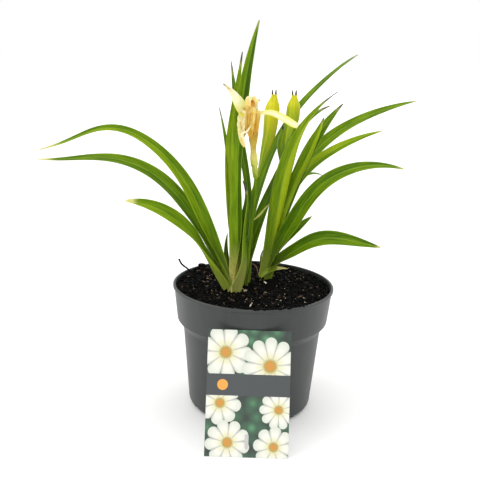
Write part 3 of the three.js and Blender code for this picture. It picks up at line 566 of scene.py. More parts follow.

# name: slot, tone (higher is lighter), share of the length where the dry tip starts, how grey that
# tip is, how pale the foot is (blanched, and painted lighter against the shade), then the blade itself.
LEAVES = {
    "leaf_left_1": ("leaf_light", 0.14, 0.945, 0.0, 0.2, dict(
        root=(-25, -9), heading=(190, 200), lean=(32, 28, 52, 82), roll=(0, -10, -45, -45),
        length=155, width=19, base=0.9, peak=0.5, taper=2.6, tip=0.15, fold=(75, 20))),
    "leaf_left_2": ("leaf_light", -0.02, 0.9, 1.0, 0.4, dict(
        root=(-14.5, -10.5), heading=(-5,), lean=(16, 10, -4, -1, 3, -31), roll=(0, 25, 40),
        length=125, width=19.5, base=1.5, peak=0.45, taper=1.4, fold=(75, 45))),
    "leaf_left_3": ("leaf_green", 0.14, 0.94, 0.1, 0.15, dict(
        root=(-22.5, -8), heading=(174, 176), lean=(23, 19, 24, 41, 66, 112, 107),
        roll=(0, -60, -55, -55), length=299, width=17, base=0.95, peak=0.22, taper=1.2, fold=(75, 20))),
    "leaf_left_4": ("leaf_green", 0.12, 0.99, 0.7, 0.95, dict(
        root=(-13.5, -7.5), heading=(10,), lean=(-3, -2.5, 3.5, 14.5),
        roll=(0, 45, 35, 68, 76), length=277, width=15, base=1.5, peak=0.6, fold=(70, 20))),
    "leaf_left_5": ("leaf_light", 0.24, 0.95, 1.0, 0.9, dict(
        root=(-19, -5), heading=(165, 150), lean=(6.4, 2.8, 2.9, -5.5, -7.6), roll=(0, -60, -50),
        length=247, width=12, peak=0.6, taper=1.3, fold=(75, 20))),
    "leaf_left_6": ("leaf_dark", -0.08, 0.955, 1.0, 0.2, dict(
        root=(-20.5, -2.5), heading=(180,), lean=(7, 2, 14), roll=(0, -40, -60),
        length=194, width=9, fold=(75, 20))),
    "leaf_left_7": ("leaf_dark", 0.0, 0.95, 0.1, 0.1, dict(
        root=(-23.5, -4.5), heading=(166, 164), lean=(32, 25, 41, 71, 97, 92), roll=(0, -40, -35),
        length=284, width=17, base=1.1, fold=(75, 20))),
    "leaf_left_8": ("leaf_dark", -0.25, 0.97, 0.0, 0.1, dict(
        root=(-21, 0), heading=(130,), lean=(20, 15, -14), roll=(-30,),
        length=67, width=7, stations=6)),
    "leaf_middle_1": ("leaf_dark", -0.06, 0.98, 0.0, 0.1, dict(
        root=(-7, 8.5), heading=(78, 53, 45), lean=(-15, 24, 29, 21),
        length=140, width=15, peak=0.65, taper=1.3, tip=0.1, stations=8)),
    "leaf_middle_2": ("leaf_dark", -0.02, 0.985, 0.8, 0.1, dict(
        root=(-7, 19), heading=(82, 52, 35, 45, 58), lean=(-6, 15, 30.7, 57.5, 76), roll=(0, 0, 15),
        length=325, width=15, taper=1.2)),
    "leaf_middle_3": ("leaf_dark", -0.1, 0.95, 1.0, 0.1, dict(
        root=(-7, 13), heading=(150,), lean=(-6, 1, 5, 13.5, 9, 9.5), roll=(0, -60),
        length=238, width=8.5, peak=0.6, taper=2)),
    "leaf_right_1": ("leaf_green", 0.2, 0.92, 1.0, 0.2, dict(
        root=(12, 31.5), heading=(-25, -10), lean=(12, 6, 18, 52), roll=(-20, -50, -20),
        length=227, width=19, base=0.88, peak=0.6, taper=1.2, tip=0.0)),
    "leaf_right_2": ("leaf_green", 0.0, 0.985, 0.0, 0.1, dict(
        root=(19.5, 28.5), heading=(-42, -30), lean=(-6, 45, 58, 88, 95), roll=(30, 60, 70),
        length=158, width=17, base=1.1, peak=0.5, taper=2, fold=(60, 15))),
    "leaf_right_3": ("leaf_green", 0.04, 0.985, 0.0, 0.1, dict(
        root=(17, 30.5), heading=(-26, -22), lean=(3, 24, 33, 66, 100), roll=(40, 70, 50),
        length=219, width=19, base=0.8, peak=0.35, taper=1.8, fold=(60, 12))),
    "leaf_right_4": ("leaf_dark", 0.03, 0.975, 1.0, 0.2, dict(
        root=(15.5, 36.5), heading=(0,), lean=(5, 12, 22, 19), roll=(30, 50),
        length=190, width=16, base=0.8, peak=0.65)),
    "leaf_right_5": ("leaf_light", 0.08, 0.9, 0.6, 0.2, dict(
        root=(8, 31.5), heading=(190,), lean=(-25, 3, -11), roll=(-40,),
        length=68, width=5, stations=6)),
    "leaf_right_6": ("leaf_dark", -0.1, 0.9, 1.0, 0.1, dict(
        root=(6.5, 35), heading=(180,), lean=(-37, 14, -35), roll=(-30,),
        length=45, width=6, stations=6)),
    "leaf_right_7": ("leaf_light", 0.15, 0.75, 0.0, 0.1, dict(
        root=(9, 26), heading=(-40, -20), lean=(-19, 53, 90), roll=(40, 60),
        length=47, width=7, stations=6)),
    "leaf_back_1": ("leaf_dark", 0.0, 0.965, 1.0, 0.1, dict(
        root=(16, 45.5), heading=(8,), lean=(5, 15, 22, 43), roll=(10, 60, 80),
        length=211, width=14, peak=0.6, taper=2.2)),
    "leaf_back_2": ("leaf_dark", 0.0, 0.95, 1.0, 0.1, dict(
        root=(11.5, 49), heading=(24,), lean=(12, 7, 18, 70), roll=(10, 40),
        length=214, width=14, peak=0.4, taper=2)),
    "leaf_back_3": ("leaf_light", 0.16, 0.98, 0.0, 0.1, dict(
        root=(18, 50.5), heading=(18,), lean=(4, 15, 55, 78), roll=(10, 60),
        length=228, width=14, peak=0.4, taper=2)),
    "leaf_back_4": ("leaf_green", 0.06, 0.985, 0.0, 0.1, dict(
        root=(15.5, 55), heading=(30, 32), lean=(1, 27, 66, 83), roll=(10, 60),
        length=309, width=14, peak=0.4, taper=2)),
    "leaf_back_5": ("leaf_dark", 0.0, 0.98, 0.0, 0.1, dict(
        root=(21.5, 46), heading=(8,), lean=(-18, 34, 53), roll=(10, 70),
        length=91, width=11, peak=0.6, taper=2, stations=6)),
    "leaf_back_6": ("leaf_dark", -0.1, 0.9, 1.0, 0.1, dict(
        root=(15.5, 59), heading=(48,), lean=(18, 12, 67, 128), roll=(0, 40),
        length=184, width=7)),
}
WING_LIGHT_AND_SHADE = {                    # painted light and shade: how much lighter than the leaf each of its halves is, by how it faces the light
    "leaf_left_1": (-0.08, 0.04), "leaf_left_3": (-0.12, 0.02), "leaf_left_4": (-0.3, 0.0),
    "leaf_left_7": (0.03, -0.05), "leaf_middle_2": (-0.06, 0.04), "leaf_right_1": (-0.08, 0.26),
    "leaf_right_2": (0.02, -0.08), "leaf_right_3": (0.0, -0.1), "leaf_right_4": (0.28, 0.02),
    "leaf_back_1": (-0.04, 0.06), "leaf_back_3": (-0.05, 0.15),
}
for number, (name, (slot, tone, dry_from, grey, blanched_and_lit, shape)) in enumerate(LEAVES.items()):
    shape = dict(shape, root=(*shape["root"], ROOT_LEVEL), seed=number)
    vertices, faces, places = blade(**shape)
    leaf = new_object(name + "_blade", vertices, faces, leaf_tissue)
    mark_places(leaf, places, (tone, dry_from, blanched_and_lit), grey, WING_LIGHT_AND_SHADE.get(name, (0, 0)))
    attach(leaf, "root")
    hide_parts(name)

# The root crown of each fan sits in the soil under its leaves: firm, brown, fibrous tissue.
crown_tissue = mottled_material("fibrous_root_crown", 300.0, 4.0, [(0.35, "#2b1d12"), (0.65, "#6a5236")], 0.9)
for side in ("left", "middle", "right"):
    crown_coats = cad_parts["crown_" + side].data.materials
    crown_coats.clear()
    crown_coats.append(crown_tissue)

# ------------------------------------------------------------------------------------ stalks
# Two solid flower stalks grow up out of the crowns. Each has six faint ridges, thins a little towards
# its top, and is of the same waxy tissue as the leaves.
NEVER_DRY = 2.0                   # the dry tip would start past the end
STALK_POINTS = 60
STALKS = {                        # points of the path, radius
    "stalk_main": ([(-8, 6.5, 116), (-6, 4.5, 160), (-3.7, 4, 202), (-1.2, 4, 238)], 2.0),
    "stalk_back": ([(13.5, 41, 116), (17, 40, 160), (22.5, 34, 205), (27.7, 27.5, 246)], 1.8),
}


def curve_points(points, count):
    """Evenly numbered points on a smooth curve through the given ones."""
    columns = list(zip(*points))
    return [Vector([along(column, step / (count - 1)) for column in columns]) for step in range(count)]


def ring_frames(path):
    """Each point of a path, with the direction across the path there and the one into its depth."""
    for number, point in enumerate(path):
        before, after = path[max(number - 1, 0)], path[min(number + 1, len(path) - 1)]
        forward = (after - before).normalized()
        across = Vector((0, 1, 0)).cross(forward).normalized()
        yield point, across, forward.cross(across)


def tube(path, radii, sides, ridges=0, ridge=0.0):
    """A closed tube along the path: vertices, faces and each vertex's place on it."""
    vertices, places = [], []
    total = sum((b - a).length for a, b in zip(path, path[1:]))
    run = 0.0
    for number, (point, across, depth) in enumerate(ring_frames(path)):
        radius = radii[number]
        if number:
            run += (point - path[number - 1]).length
        for side in range(sides):
            angle = 2 * math.pi * side / sides
            reach = radius * (1 + ridge * math.cos(ridges * angle))
            vertices.append(point + across * (reach * math.cos(angle)) + depth * (reach * math.sin(angle)))
            places.append((2 * side / sides - 1, run / total, angle * radius, run))
    return vertices, ring_faces(len(path), sides), places


for name, (points, radius) in STALKS.items():
    radii = [radius * (1.1 - 0.25 * step / (STALK_POINTS - 1)) for step in range(STALK_POINTS)]
    vertices, faces, places = tube(curve_points(points, STALK_POINTS), radii, sides=24, ridges=6, ridge=0.04)
    stalk = new_object(name + "_stem", vertices, faces, leaf_tissue, sharp=60)
    mark_places(stalk, places, (0.02, NEVER_DRY, 0.1))
    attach(stalk, "root")
    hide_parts(name)

# One small bract stands off the main stalk, pale and papery.
vertices, faces, places = blade(
    root=(-2.2, 2.6, 196), heading=(-5,), lean=(52, 38, 38), roll=(60,), length=24, width=2.6, base=0.7,
    stations=5)
bract = new_object("bract_1_blade", vertices, faces, leaf_tissue)
mark_places(bract, places, (0.15, NEVER_DRY, 0.55))
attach(bract, "root")
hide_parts("bract_1")

# ------------------------------------------------------------------------------------ buds
# Closed flower buds on the ends of the stalks: three fleshy outer petals, pressed edge to edge over
# three inner ones, with a raised midrib on each, ending in three free, darkened points.
BUD_SHAPE = [(0, 0.24), (0.14, 0.24), (0.25, 0.36), (0.38, 0.65), (0.46, 0.8), (0.52, 0.84), (0.6, 0.93),
             (0.7, 1.0), (0.79, 1.0), (0.86, 0.94), (0.93, 0.62), (1.0, 0.32)]
BUDS = {                          # axis, width, turn of the ribs, ripeness
    "bud_1": ([(0.3, 6.5, 239.2), (4.8, 24, 254), (10.9, 28, 277.5), (13.1, 28, 300.5), (15, 28, 320.2)],
              15.2, 60, 0.0),
    "bud_2": ([(28.3, 27.2, 247.2), (29.8, 26, 272), (34, 26, 297.5), (35.1, 26, 320.4)], 14, 60, -0.2),
    "bud_3": ([(25, 31.3, 226), (28, 32.5, 246), (25.7, 32.5, 266), (27.1, 32, 285)], 11.5, 40, -0.6),
}
BUD_RINGS = 70
BUD_SIDES = 60
POINT_RINGS = 9                   # of each free point
POINT_REACH = 2.1                 # from the bud's end to the middle of the point's foot
POINT_RADIUS = 1.35
POINT_SINK = 4.3                  # how deep its foot stands in the bud
POINT_LENGTH = 9.5

# Bud skin: satin, green at the foot and turning clear yellow towards the tip.
bud_skin, tree = new_material("bud_skin")
share, share_parts = stored_vector(tree, "blade_share")
own_parts = stored_vector(tree, "blade_traits")[1]
streaks = stretched_noise(tree, share, (22, 2.5, 1), 3.0)
ripeness_here = add_node(tree, "Math", {0: share_parts["Y"], 1: own_parts["X"]}, operation="ADD")
ripe = add_node(tree, "Math", {0: streaks, 1: 0.4, 2: ripeness_here}, operation="MULTIPLY_ADD")
skin_colour = add_node(tree, "ValToRGB", {"Fac": ripe}, stops=[
    (0.2, "#5f8004"), (0.5, "#7c9a04"), (0.75, "#98a806"), (1.0, "#cfca0e")])
# Each outer petal's midrib is flushed with ochre, and the seams between them stay bright. On a young
# bud neither shows yet.
line_strength = add_node(tree, "MapRange", {
    "Value": own_parts["X"], "From Min": -0.6, "From Max": 0.0, "To Max": 0.3})
with_ribs = stain(tree, skin_colour, "#8f7612", share_parts["Z"], 0.8, 1.0, last=line_strength)
with_seams = stain(tree, with_ribs, "#e9e55a", share_parts["Z"], 0.12, 0.4, first=line_strength, last=0.0)
tipped = stain(tree, with_seams, "#20240f", share_parts["Y"], 0.985, 1.02)
relief = add_node(tree, "Bump", {"Height": streaks, "Strength": 0.3, "Distance": 0.0004})
skin = add_node(tree, "BsdfPrincipled", {
    "Base Color": tipped, "Roughness": 0.45, "Specular IOR Level": 0.25, "Subsurface Weight": 0.15,
    "Subsurface Radius": (0.004, 0.003, 0.001), "Subsurface Scale": 0.5, "Normal": relief})
add_node(tree, "OutputMaterial", {"Surface": skin})


def share_of(shape, t):
    """Reads a list of (place, share) pairs at t, straight between them."""
    for (low, a), (high, b) in zip(shape, shape[1:]):
        if t <= high:
            return a + (b - a) * (t - low) / (high - low)
    return shape[-1][1]


for name, (axis, width, ribs_at, ripeness) in BUDS.items():
    vertices, places = [], []
    for ring, (point, across, depth) in enumerate(ring_frames(curve_points(axis, BUD_RINGS))):
        t = ring / (BUD_RINGS - 1)
        # Read a little before and after the place, so the shape's corners come out round.
        around = share_of(BUD_SHAPE, max(t - 0.02, 0)) + share_of(BUD_SHAPE, min(t + 0.02, 1))
        radius = width / 2 * around / 2
        groove = 0.1 * smooth_step(t, 0.25, 0.5) + 0.3 * smooth_step(t, 0.86, 1.0)
        for side in range(BUD_SIDES):
            angle = 2 * math.pi * side / BUD_SIDES
            rib_angle = 1.5 * (angle - math.radians(ribs_at))
            rib_here = abs(math.cos(rib_angle))
            seam = math.exp(-(math.cos(rib_angle) / 0.16) ** 2)
            reach = radius * (0.97 + 0.07 * rib_here ** 6 - groove * seam + 0.025 * math.cos(9 * angle))
            vertices.append(point + across * (reach * math.cos(angle)) + depth * (reach * math.sin(angle)))
            places.append((angle / math.pi - 1, t, rib_here))
    end = Vector(axis[-1])
    faces = ring_faces(BUD_RINGS, BUD_SIDES)
    shares = [step / (POINT_RINGS - 1) for step in range(POINT_RINGS)]
    radii = [POINT_RADIUS * (1 - 0.75 * t ** 1.5) for t in shares]
    for turned in (0, 120, 240):
        angle = math.radians(ribs_at + turned)
        out = Vector((math.cos(angle), math.sin(angle), 0))
        path = [end + out * (POINT_REACH + 0.5 * t * t) + Vector((0, 0, POINT_LENGTH * t - POINT_SINK))
                for t in shares]
        more, more_faces, more_places = tube(path, radii, sides=10)
        join(vertices, faces, more, more_faces)
        places += [(0, 0.9 + 0.2 * t, 0.3) for _, t, _, _ in more_places]
    bud = new_object(name + "_skin", vertices, faces, bud_skin, sharp=70)
    store(bud, "blade_share", places)
    store(bud, "blade_traits", [(ripeness, 0, 0)] * len(places))
    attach(bud, "root")
    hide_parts(name)

# ------------------------------------------------------------------------------------ spent bloom
# Yesterday's flower: a green ovary, the pale tube above it, a collapsed brown middle, three petals
# that still stand out, one rolled into a knob, and the rest hanging in wet, crumpled folds.
BLOOM_AXIS = [(-1.2, 4, 238.5), (-4.7, -3, 264), (-5.3, -9, 287), (-3.1, -13, 305.5)]
BLOOM_WIDTH = 8
BLOOM_SHAPE = [(0, 0.45), (0.04, 0.68), (0.13, 0.72), (0.17, 0.62), (0.19, 0.9), (0.3, 0.86), (0.38, 0.66),
               (0.45, 0.7), (0.55, 1.02), (0.65, 1.06), (0.8, 0.95), (0.92, 0.72), (1.0, 0.45)]


def petal_material(name, stops, patch_mm, relief_share=0.5):
    """Thin petal tissue: fine veins along it, stained in patches as it withers."""
    made, tree = new_material(name)
    share_parts = stored_vector(tree, "blade_share")[1]
    in_mm = stored_vector(tree, "blade_mm")[0]
    trait_parts = stored_vector(tree, "blade_traits")[1]
    veins = stretched_noise(tree, in_mm, (1.1, 0.12, 1), 3.0)
    patches = stretched_noise(tree, in_mm, (1 / patch_mm, 0.6 / patch_mm, 1), 4.0)
    patched = add_node(tree, "Math", {0: patches, 1: 0.6, 2: trait_parts["Y"]}, operation="MULTIPLY_ADD")
    aged = add_node(tree, "Math", {0: share_parts["Y"], 1: trait_parts["X"], 2: patched},
                    operation="MULTIPLY_ADD")
    # The middle of a petal keeps another tone than its edges, by the third trait: on the rolled petal it is
    # painted shade in its hollow, under a pale rim, and on the fresh petals a paler band down the middle.
    outward = add_node(tree, "Math", {0: share_parts["X"]}, operation="ABSOLUTE")
    inward = add_node(tree, "Math", {0: 1.0, 1: outward}, operation="SUBTRACT")
    middle_tone_and_shade = add_node(tree, "Math", {0: inward, 1: trait_parts["Z"], 2: aged}, operation="MULTIPLY_ADD")
    tone = add_node(tree, "Math", {0: veins, 1: 0.3, 2: middle_tone_and_shade}, operation="MULTIPLY_ADD")
    body = add_node(tree, "ValToRGB", {"Fac": tone}, stops=stops)
    relief = add_node(tree, "Bump", {"Height": veins, "Strength": relief_share, "Distance": 0.0004})
    skin = add_node(tree, "BsdfPrincipled", {
        "Base Color": body, "Roughness": 0.5, "IOR": 1.4, "Specular IOR Level": 0.25, "Normal": relief})
    glow = add_node(tree, "BsdfTranslucent", {"Color": body, "Normal": relief})
    tissue = add_node(tree, "MixShader", {0: 0.45, 1: skin, 2: glow})
    add_node(tree, "OutputMaterial", {"Surface": tissue})
    return made


# Fresh petal: near-white lemon, yellower at its edges. Withered petal: limp and stained cream, gold and
# ochre. Rolled petal: cream at first, then orange-brown where it rolls up. The tube: green at the
# ovary, then cream, turning tan where it has collapsed.
fresh_petal = petal_material("lemon_petal", [
    (0.1, "#f0ea66"), (0.35, "#f8f6ae"), (0.6, "#fffde8"), (0.85, "#fff4cf"), (1.0, "#9a8c80")], 9)
withered_petal = petal_material("withered_petal", [
    (0.25, "#fdf7c8"), (0.5, "#f9e792"), (0.7, "#eac858"), (0.95, "#c8962c")], 5)
rolled_petal = petal_material("rolled_petal", [
    (0.3, "#fdf3c2"), (0.5, "#f6dc80"), (0.75, "#dd9c22"), (1.0, "#a8620f")], 4)
bloom_tube = petal_material("bloom_tube", [
    (0.2, "#a6bc2c"), (0.33, "#e2e27a"), (0.43, "#f0e596"), (0.52, "#dfcb60"), (0.8, "#d2b048"),
    (0.95, "#b89238")], 6, 0.9)

BLOOM_RINGS = 90
BLOOM_SIDES = 48
BLOOM_LENGTH = 70
BLOOM_DEPTH = 0.85                # of its width
vertices, places = [], []
for ring, (point, across, depth) in enumerate(ring_frames(curve_points(BLOOM_AXIS, BLOOM_RINGS))):
    t = ring / (BLOOM_RINGS - 1)
    radius = BLOOM_WIDTH / 2 * share_of(BLOOM_SHAPE, t)
    creased = 0.28 * smooth_step(t, 0.4, 0.62)
    lobed = 0.05 + 0.05 * smooth_step(t, 0.17, 0.2)
    for side in range(BLOOM_SIDES):
        angle = 2 * math.pi * side / BLOOM_SIDES
        creases = creased * noise.noise((4 * math.cos(angle), 4 * math.sin(angle), t * 5))
        reach = radius * (1 + lobed * math.cos(3 * angle + 0.6) + 0.04 * math.cos(9 * angle) + creases)
        vertices.append(point + across * (reach * math.cos(angle))
                        + depth * (reach * BLOOM_DEPTH * math.sin(angle)))
        places.append((angle / math.pi - 1, t, angle * BLOOM_WIDTH / 2, t * BLOOM_LENGTH))
faces = ring_faces(BLOOM_RINGS, BLOOM_SIDES)
bloom = new_object("bloom_body_tube", vertices, faces, bloom_tube, sharp=70)
mark_places(bloom, places, (0.85, -0.3, 0))
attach(bloom, "root")
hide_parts("bloom_body")

# name: material, slot, how it ages along its length, age at its root, its middle's own tone (on the rolled
# petal, painted shade in its hollow), the blade.
PETALS = {
    "petal_left": (fresh_petal, "petal_cream", 0.86, -0.38, 0.15, dict(
        root=(-12.5, -17, 305.5), heading=(180,), lean=(50, 33, 39, 57), roll=(-70, -80), length=36,
        width=14, base=1, peak=0.15, taper=1.1, fold=(25, 15), stations=8)),
    "petal_right": (fresh_petal, "petal_cream", 0.0, -0.2, 0.4, dict(
        root=(-3.7, -15.5, 304.3), heading=(-5, 0), lean=(72, 88, 112, 119, 108), roll=(50, 65), length=43,
        width=8.4, base=0.45, peak=0.7, tip=0.7, taper=3, fold=(40, 28), stations=8)),
    "petal_curled": (rolled_petal, "petal_brown", 0.95, -0.62, 0.1, dict(
        root=(-6.5, -14, 306), heading=(240,), lean=(-14, 5, 90, 195, 330, 520), length=47, width=6.8,
        base=0.8, peak=0.4, tip=0.5, fold=(12, 12), stations=14)),
    "petal_upright": (fresh_petal, "petal_cream", 0.0, -0.3, 0.5, dict(
        root=(-4.4, -14, 305.2), heading=(10,), lean=(20, 0, 30), roll=(60,), length=14, width=4,
        base=0.7, peak=0.4, tip=0.3, fold=(30, 20), stations=5)),
}
for number, (name, (material, slot, ageing, age, middle_tone_and_hollow_shade, shape)) in enumerate(PETALS.items()):
    vertices, faces, places = blade(**shape, thickness=0.5, cup=0.12, wave=0.6, crumple=0.5, seed=40 + number)
    petal = new_object(name + "_sheet", vertices, faces, material)
    mark_places(petal, places, (ageing, age, middle_tone_and_hollow_shade))
    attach(petal, "root")
    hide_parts(name)

# The folds that hang down cling together as one. Each is given its age, then its blade.
FOLD_AGEING = 0.3                 # along their length
HANGING_FOLDS = [
    (-0.35, dict(
        root=(-14.6, -19, 308.5), lean=(152, 176, 180, 186, 215), length=36, width=9, roll=(-60, -80))),
    (0.1, dict(root=(-13.2, -17.5, 310), lean=(172, 178, 176, 170), length=28, width=10, roll=(-70, -100))),
    (-0.05, dict(root=(-8, -18.5, 312), lean=(172, 174, 184, 190), length=30, width=12, roll=(-80, -95))),
    (0.0, dict(root=(-3.5, -17, 309), lean=(176, 178, 186, 190), length=24, width=11, roll=(-95, -75))),
]
vertices, faces, places = [], [], []
for number, (age, shape) in enumerate(HANGING_FOLDS):
    more, more_faces, more_places = blade(
        **shape, heading=(180,), base=0.8, peak=0.3, tip=0.25, fold=(35, 30), thickness=0.6, stations=6,
        cup=0.2, wave=1.0, crumple=1.3, seed=60 + number)
    join(vertices, faces, more, more_faces)
    places += [(u, t + age / FOLD_AGEING, x, run) for u, t, x, run in more_places]
folds = new_object("petals_hanging_sheets", vertices, faces, withered_petal)
mark_places(folds, places, (FOLD_AGEING, 0.0, 0.1))
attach(folds, "root")
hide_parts("petals_hanging")

# The stamen has wilted into a hook; the style stands up behind, with a dark stigma at its end.
FILAMENT_POINTS = 30
FILAMENTS = {                     # points of the path, radius, how dark its end is
    "stamen": ([(-7.8, -18, 295), (-11.8, -24, 289.3), (-17, -24.5, 286.2), (-13.1, -24.5, 280.3)], 0.8, 0.1),
    "style": ([(-3.4, -14, 304.2), (-3, -15, 312.2), (-0.8, -15, 318.7)], 0.5, 2.0),
}
for name, (points, radius, dark_end) in FILAMENTS.items():
    # The last two rings are wider, for the knob at the end.
    radii = [radius] * (FILAMENT_POINTS - 2) + [radius * 1.6] * 2
    vertices, faces, places = tube(curve_points(points, FILAMENT_POINTS), radii, sides=10)
    thread = new_object(name + "_thread", vertices, faces, fresh_petal, sharp=60)
    mark_places(thread, [(u, t + dark_end * max(t - 0.9, 0) * 10, x, run) for u, t, x, run in places],
                (0.3, 0.0, 0))
    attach(thread, "root")
    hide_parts(name)

# ------------------------------------------------------------------------------------ plant label
# A laminated card that came tied to the plant, now stood against the pot. Its print is plain stock
# decoration: white daisies on green, with a dark band and an amber disc, and no lettering.
LABEL_WIDTH = 78
LABEL_HEIGHT = 117
LABEL_THICKNESS = 0.8
LABEL_FOOT = (-3, -122.2)
LABEL_LEAN = 21                   # degrees back from upright
SLOT_WIDTH = 3.6
SLOT_HEIGHT = 15
SLOT_RISE = 7

# Laminated print: inks under a clear film, which gives them an even, soft gloss.
label_print, tree = new_material("laminated_print")
spot, spot_parts = stored_vector(tree, "print_mm")
foliage = add_node(tree, "TexVoronoi", {"Vector": spot, "Scale": 0.085}, feature="F1")
printed = add_node(tree, "ValToRGB", {"Fac": foliage}, stops=[
    (0.05, "#4f8a5e"), (0.35, "#2c5a3c"), (0.75, "#16281d")])
DAISIES = [                       # middle x, height, radius, petals, turn
    (-22, 96, 25, 9, 0.2), (20, 84, 27, 11, 0.9), (-26, 49, 20, 8, 0.5), (29, 44, 18, 10, 0.0),
    (-18, 13, 21, 9, 1.1), (25, 10, 19, 8, 0.4)]
for x, y, radius, petals, turned in DAISIES:
    away = add_node(tree, "VectorMath", {0: spot, 1: (x, y, 0)}, operation="SUBTRACT")
    reach = add_node(tree, "VectorMath", {0: away}, operation="LENGTH")
    parts = add_node(tree, "SeparateXYZ", {"Vector": away}).node.outputs
    bearing = add_node(tree, "Math", {0: parts["Y"], 1: parts["X"]}, operation="ARCTAN2")
    turn = add_node(tree, "Math", {0: bearing, 1: petals / 2, 2: turned}, operation="MULTIPLY_ADD")
    wave = add_node(tree, "Math", {0: turn}, operation="COSINE")
    lobe = add_node(tree, "Math", {0: wave}, operation="ABSOLUTE")
    outline = add_node(tree, "Math", {0: lobe, 1: 0.45}, operation="POWER")
    limit = add_node(tree, "Math", {0: outline, 1: 0.3 * radius, 2: 0.7 * radius}, operation="MULTIPLY_ADD")
    share_out = add_node(tree, "Math", {0: reach, 1: limit}, operation="DIVIDE")
    petal_colour = add_node(tree, "ValToRGB", {"Fac": share_out}, stops=[
        (0.14, "#c98a2c"), (0.2, "#a8922f"), (0.3, "#d6d3ac"), (0.6, "#e2e1d6"), (0.95, "#ccd0c4")])
    # Each petal rounds off into a shaded line against the next.
    fold_shade = add_node(tree, "MapRange", {
        "Value": outline, "From Min": 0.1, "From Max": 0.85, "To Min": 0.55}, interpolation_type="SMOOTHSTEP")
    shaded = add_node(tree, "Mix", {0: 1.0, 6: petal_colour, 7: fold_shade},
                      data_type="RGBA", blend_type="MULTIPLY")
    inside = add_node(tree, "Math", {0: share_out, 1: 1.0}, operation="LESS_THAN")
    printed = add_node(tree, "Mix", {0: inside, 6: printed, 7: shaded}, data_type="RGBA")
# The dark band runs right across, with the amber disc near its left end.
band = add_node(tree, "Math", {0: spot_parts["Y"], 1: 66.0, 2: 10.0}, operation="COMPARE")
printed = add_node(tree, "Mix", {0: band, 6: printed, 7: linear("#33383a")}, data_type="RGBA")
disc_away = add_node(tree, "VectorMath", {0: spot, 1: (-24, 66, 0)}, operation="DISTANCE")
disc = add_node(tree, "Math", {0: disc_away, 1: 5.0}, operation="LESS_THAN")
printed = add_node(tree, "Mix", {0: disc, 6: printed, 7: linear("#e39a34")}, data_type="RGBA")
skin = add_node(tree, "BsdfPrincipled", {
    "Base Color": printed, "Roughness": 0.3, "IOR": 1.5, "Coat Weight": 0.3, "Coat Roughness": 0.15})
add_node(tree, "OutputMaterial", {"Surface": skin})

# The card's core and back are plain white board.
label_board = mottled_material("white_board", 900.0, 3.0, [(0.3, "#e4e4df"), (0.7, "#f3f3ef")], 0.5)

half_card, half_slot = LABEL_WIDTH / 2, SLOT_WIDTH / 2
low, high = SLOT_RISE + half_slot, SLOT_RISE + SLOT_HEIGHT - half_slot
flat = [(-half_card, 0), (half_card, 0), (half_card, LABEL_HEIGHT), (-half_card, LABEL_HEIGHT)]
flat += [(-half_slot, low), (0, SLOT_RISE), (half_slot, low), (half_slot, high), (0, SLOT_RISE + SLOT_HEIGHT),
         (-half_slot, high)]
lean = math.radians(LABEL_LEAN)
vertices = [(LABEL_FOOT[0] + x, LABEL_FOOT[1] + depth * math.cos(lean) + y * math.sin(lean),
             (LABEL_THICKNESS - depth) * math.sin(lean) + y * math.cos(lean))
            for depth in (0, LABEL_THICKNESS) for x, y in flat]
# The card's four corners come first and the slot's six after them, for the front and then the back.
front = [(0, 1, 5), (5, 4, 0), (1, 6, 5), (1, 2, 6), (2, 7, 6), (2, 8, 7), (2, 3, 8), (3, 9, 8), (3, 0, 9),
         (0, 4, 9)]
back = [tuple(10 + corner for corner in reversed(face)) for face in front]
sides = [(a, a + 10, (a + 1) % 4 + 10, (a + 1) % 4) for a in range(4)]
sides += [(4 + (a + 1) % 6, 14 + (a + 1) % 6, 14 + a, 4 + a) for a in range(6)]
card = new_object("plant_label_card", vertices, front + back + sides, label_print, sharp=30)
card.data.materials.append(label_board)
for face in card.data.polygons:
    face.material_index = 0 if face.index < len(front) else 1
store(card, "print_mm", [(x, y, 0) for x, y in flat * 2])
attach(card, "root")
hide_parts("plant_label")

# ------------------------------------------------------------------------------------ litter
# What lies loose on the soil: a twig over the lip at the back left, a looped root fibre by the right
# fan, a straw across the front, and flakes of bark, husks and clods where they fell.
LITTER_POINTS = 40

# Dried root: thin, wiry and pinkish brown.
dried_root = mottled_material("dried_root", 500.0, 3.0, [(0.35, "#6e4a3e"), (0.65, "#b08a78")], 0.7)

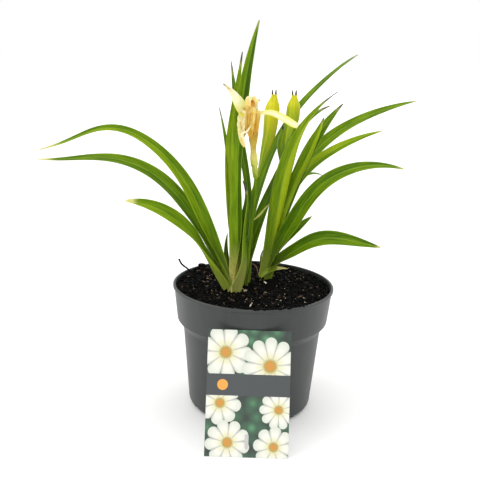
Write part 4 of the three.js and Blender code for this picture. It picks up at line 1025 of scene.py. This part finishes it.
# name: points of the path, radius, material. The twig is as dark and damp as the peat that it lay in.
LITTER = {
    "twig": ([(-63, 33.5, 125.5), (-70.5, 37.5, 131.6), (-76.9, 41, 135.3), (-80.4, 41, 141.2)], 1.2, peat),
    "root_fibre": ([(-3.4, 44, 126.5), (-3.5, 42, 138), (3, 41, 136), (6.6, 38, 126.8)], 0.6, dried_root),
    "straw": ([(-3.4, -55, 124.3), (-1, -45, 124.8), (1.2, -35, 125)], 0.6, husk),
}
# Noise makes them thicker in some places than in others.
for name, (points, radius, material) in LITTER.items():
    radii = [radius * (0.75 + 0.5 * abs(noise.noise((step / 4, radius, 0)))) for step in range(LITTER_POINTS)]
    vertices, faces, _ = tube(curve_points(points, LITTER_POINTS), radii, sides=10)
    bit = new_object(name + "_piece", vertices, faces, material, sharp=60)
    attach(bit, "root")
    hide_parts(name)

# The larger bits: a husk and a torn sheath by the fans, and bark and clods by the twig.
BIT_STEPS = 10
BIT_SIDES = 12
LOOSE_BITS = {                    # x, y, half length, half width, turn in degrees, material
    "seed_husk": (-8, -11, 2.6, 1.8, 60, husk),
    "torn_sheath": (13, 14, 3.6, 1.2, -70, husk),
    "bark_flake_1": (-60, 42, 4.2, 1.3, 150, bark),
    "bark_flake_2": (-52, 48, 5.5, 1.5, 20, bark),
    "bark_flake_3": (-46, 52, 4.0, 1.6, 100, bark),
    "peat_clod_1": (-55, 50, 5.0, 4.2, 0, peat),
    "peat_clod_2": (-44, 57, 4.4, 3.6, 40, peat),
}
for number, (name, (x, y, half_length, half_width, turned, material)) in enumerate(LOOSE_BITS.items()):
    draw = random.Random(200 + number)
    spin = Matrix.Rotation(math.radians(turned), 3, "Z") @ Matrix.Rotation(draw.uniform(0.1, 0.5), 3, "Y")
    middle = Vector((x, y, crumbly_height(x, y) + 0.6 * half_width))
    vertices = []
    for step in range(BIT_STEPS + 1):
        t = step / BIT_STEPS
        bulge = math.sin(math.pi * (0.06 + 0.88 * t)) ** 0.6
        for side in range(BIT_SIDES):
            angle = 2 * math.pi * side / BIT_SIDES
            ragged = 1 + 0.35 * noise.noise((2 * math.cos(angle) + number, 2 * math.sin(angle), 4 * t))
            reach = half_width * bulge * ragged
            vertices.append(middle + spin @ Vector((
                half_length * (2 * t - 1), reach * math.cos(angle), 0.7 * reach * math.sin(angle))))
    faces = ring_faces(BIT_STEPS + 1, BIT_SIDES)
    bit = new_object(name, vertices, faces, material, sharp=50)
    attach(bit, "root")
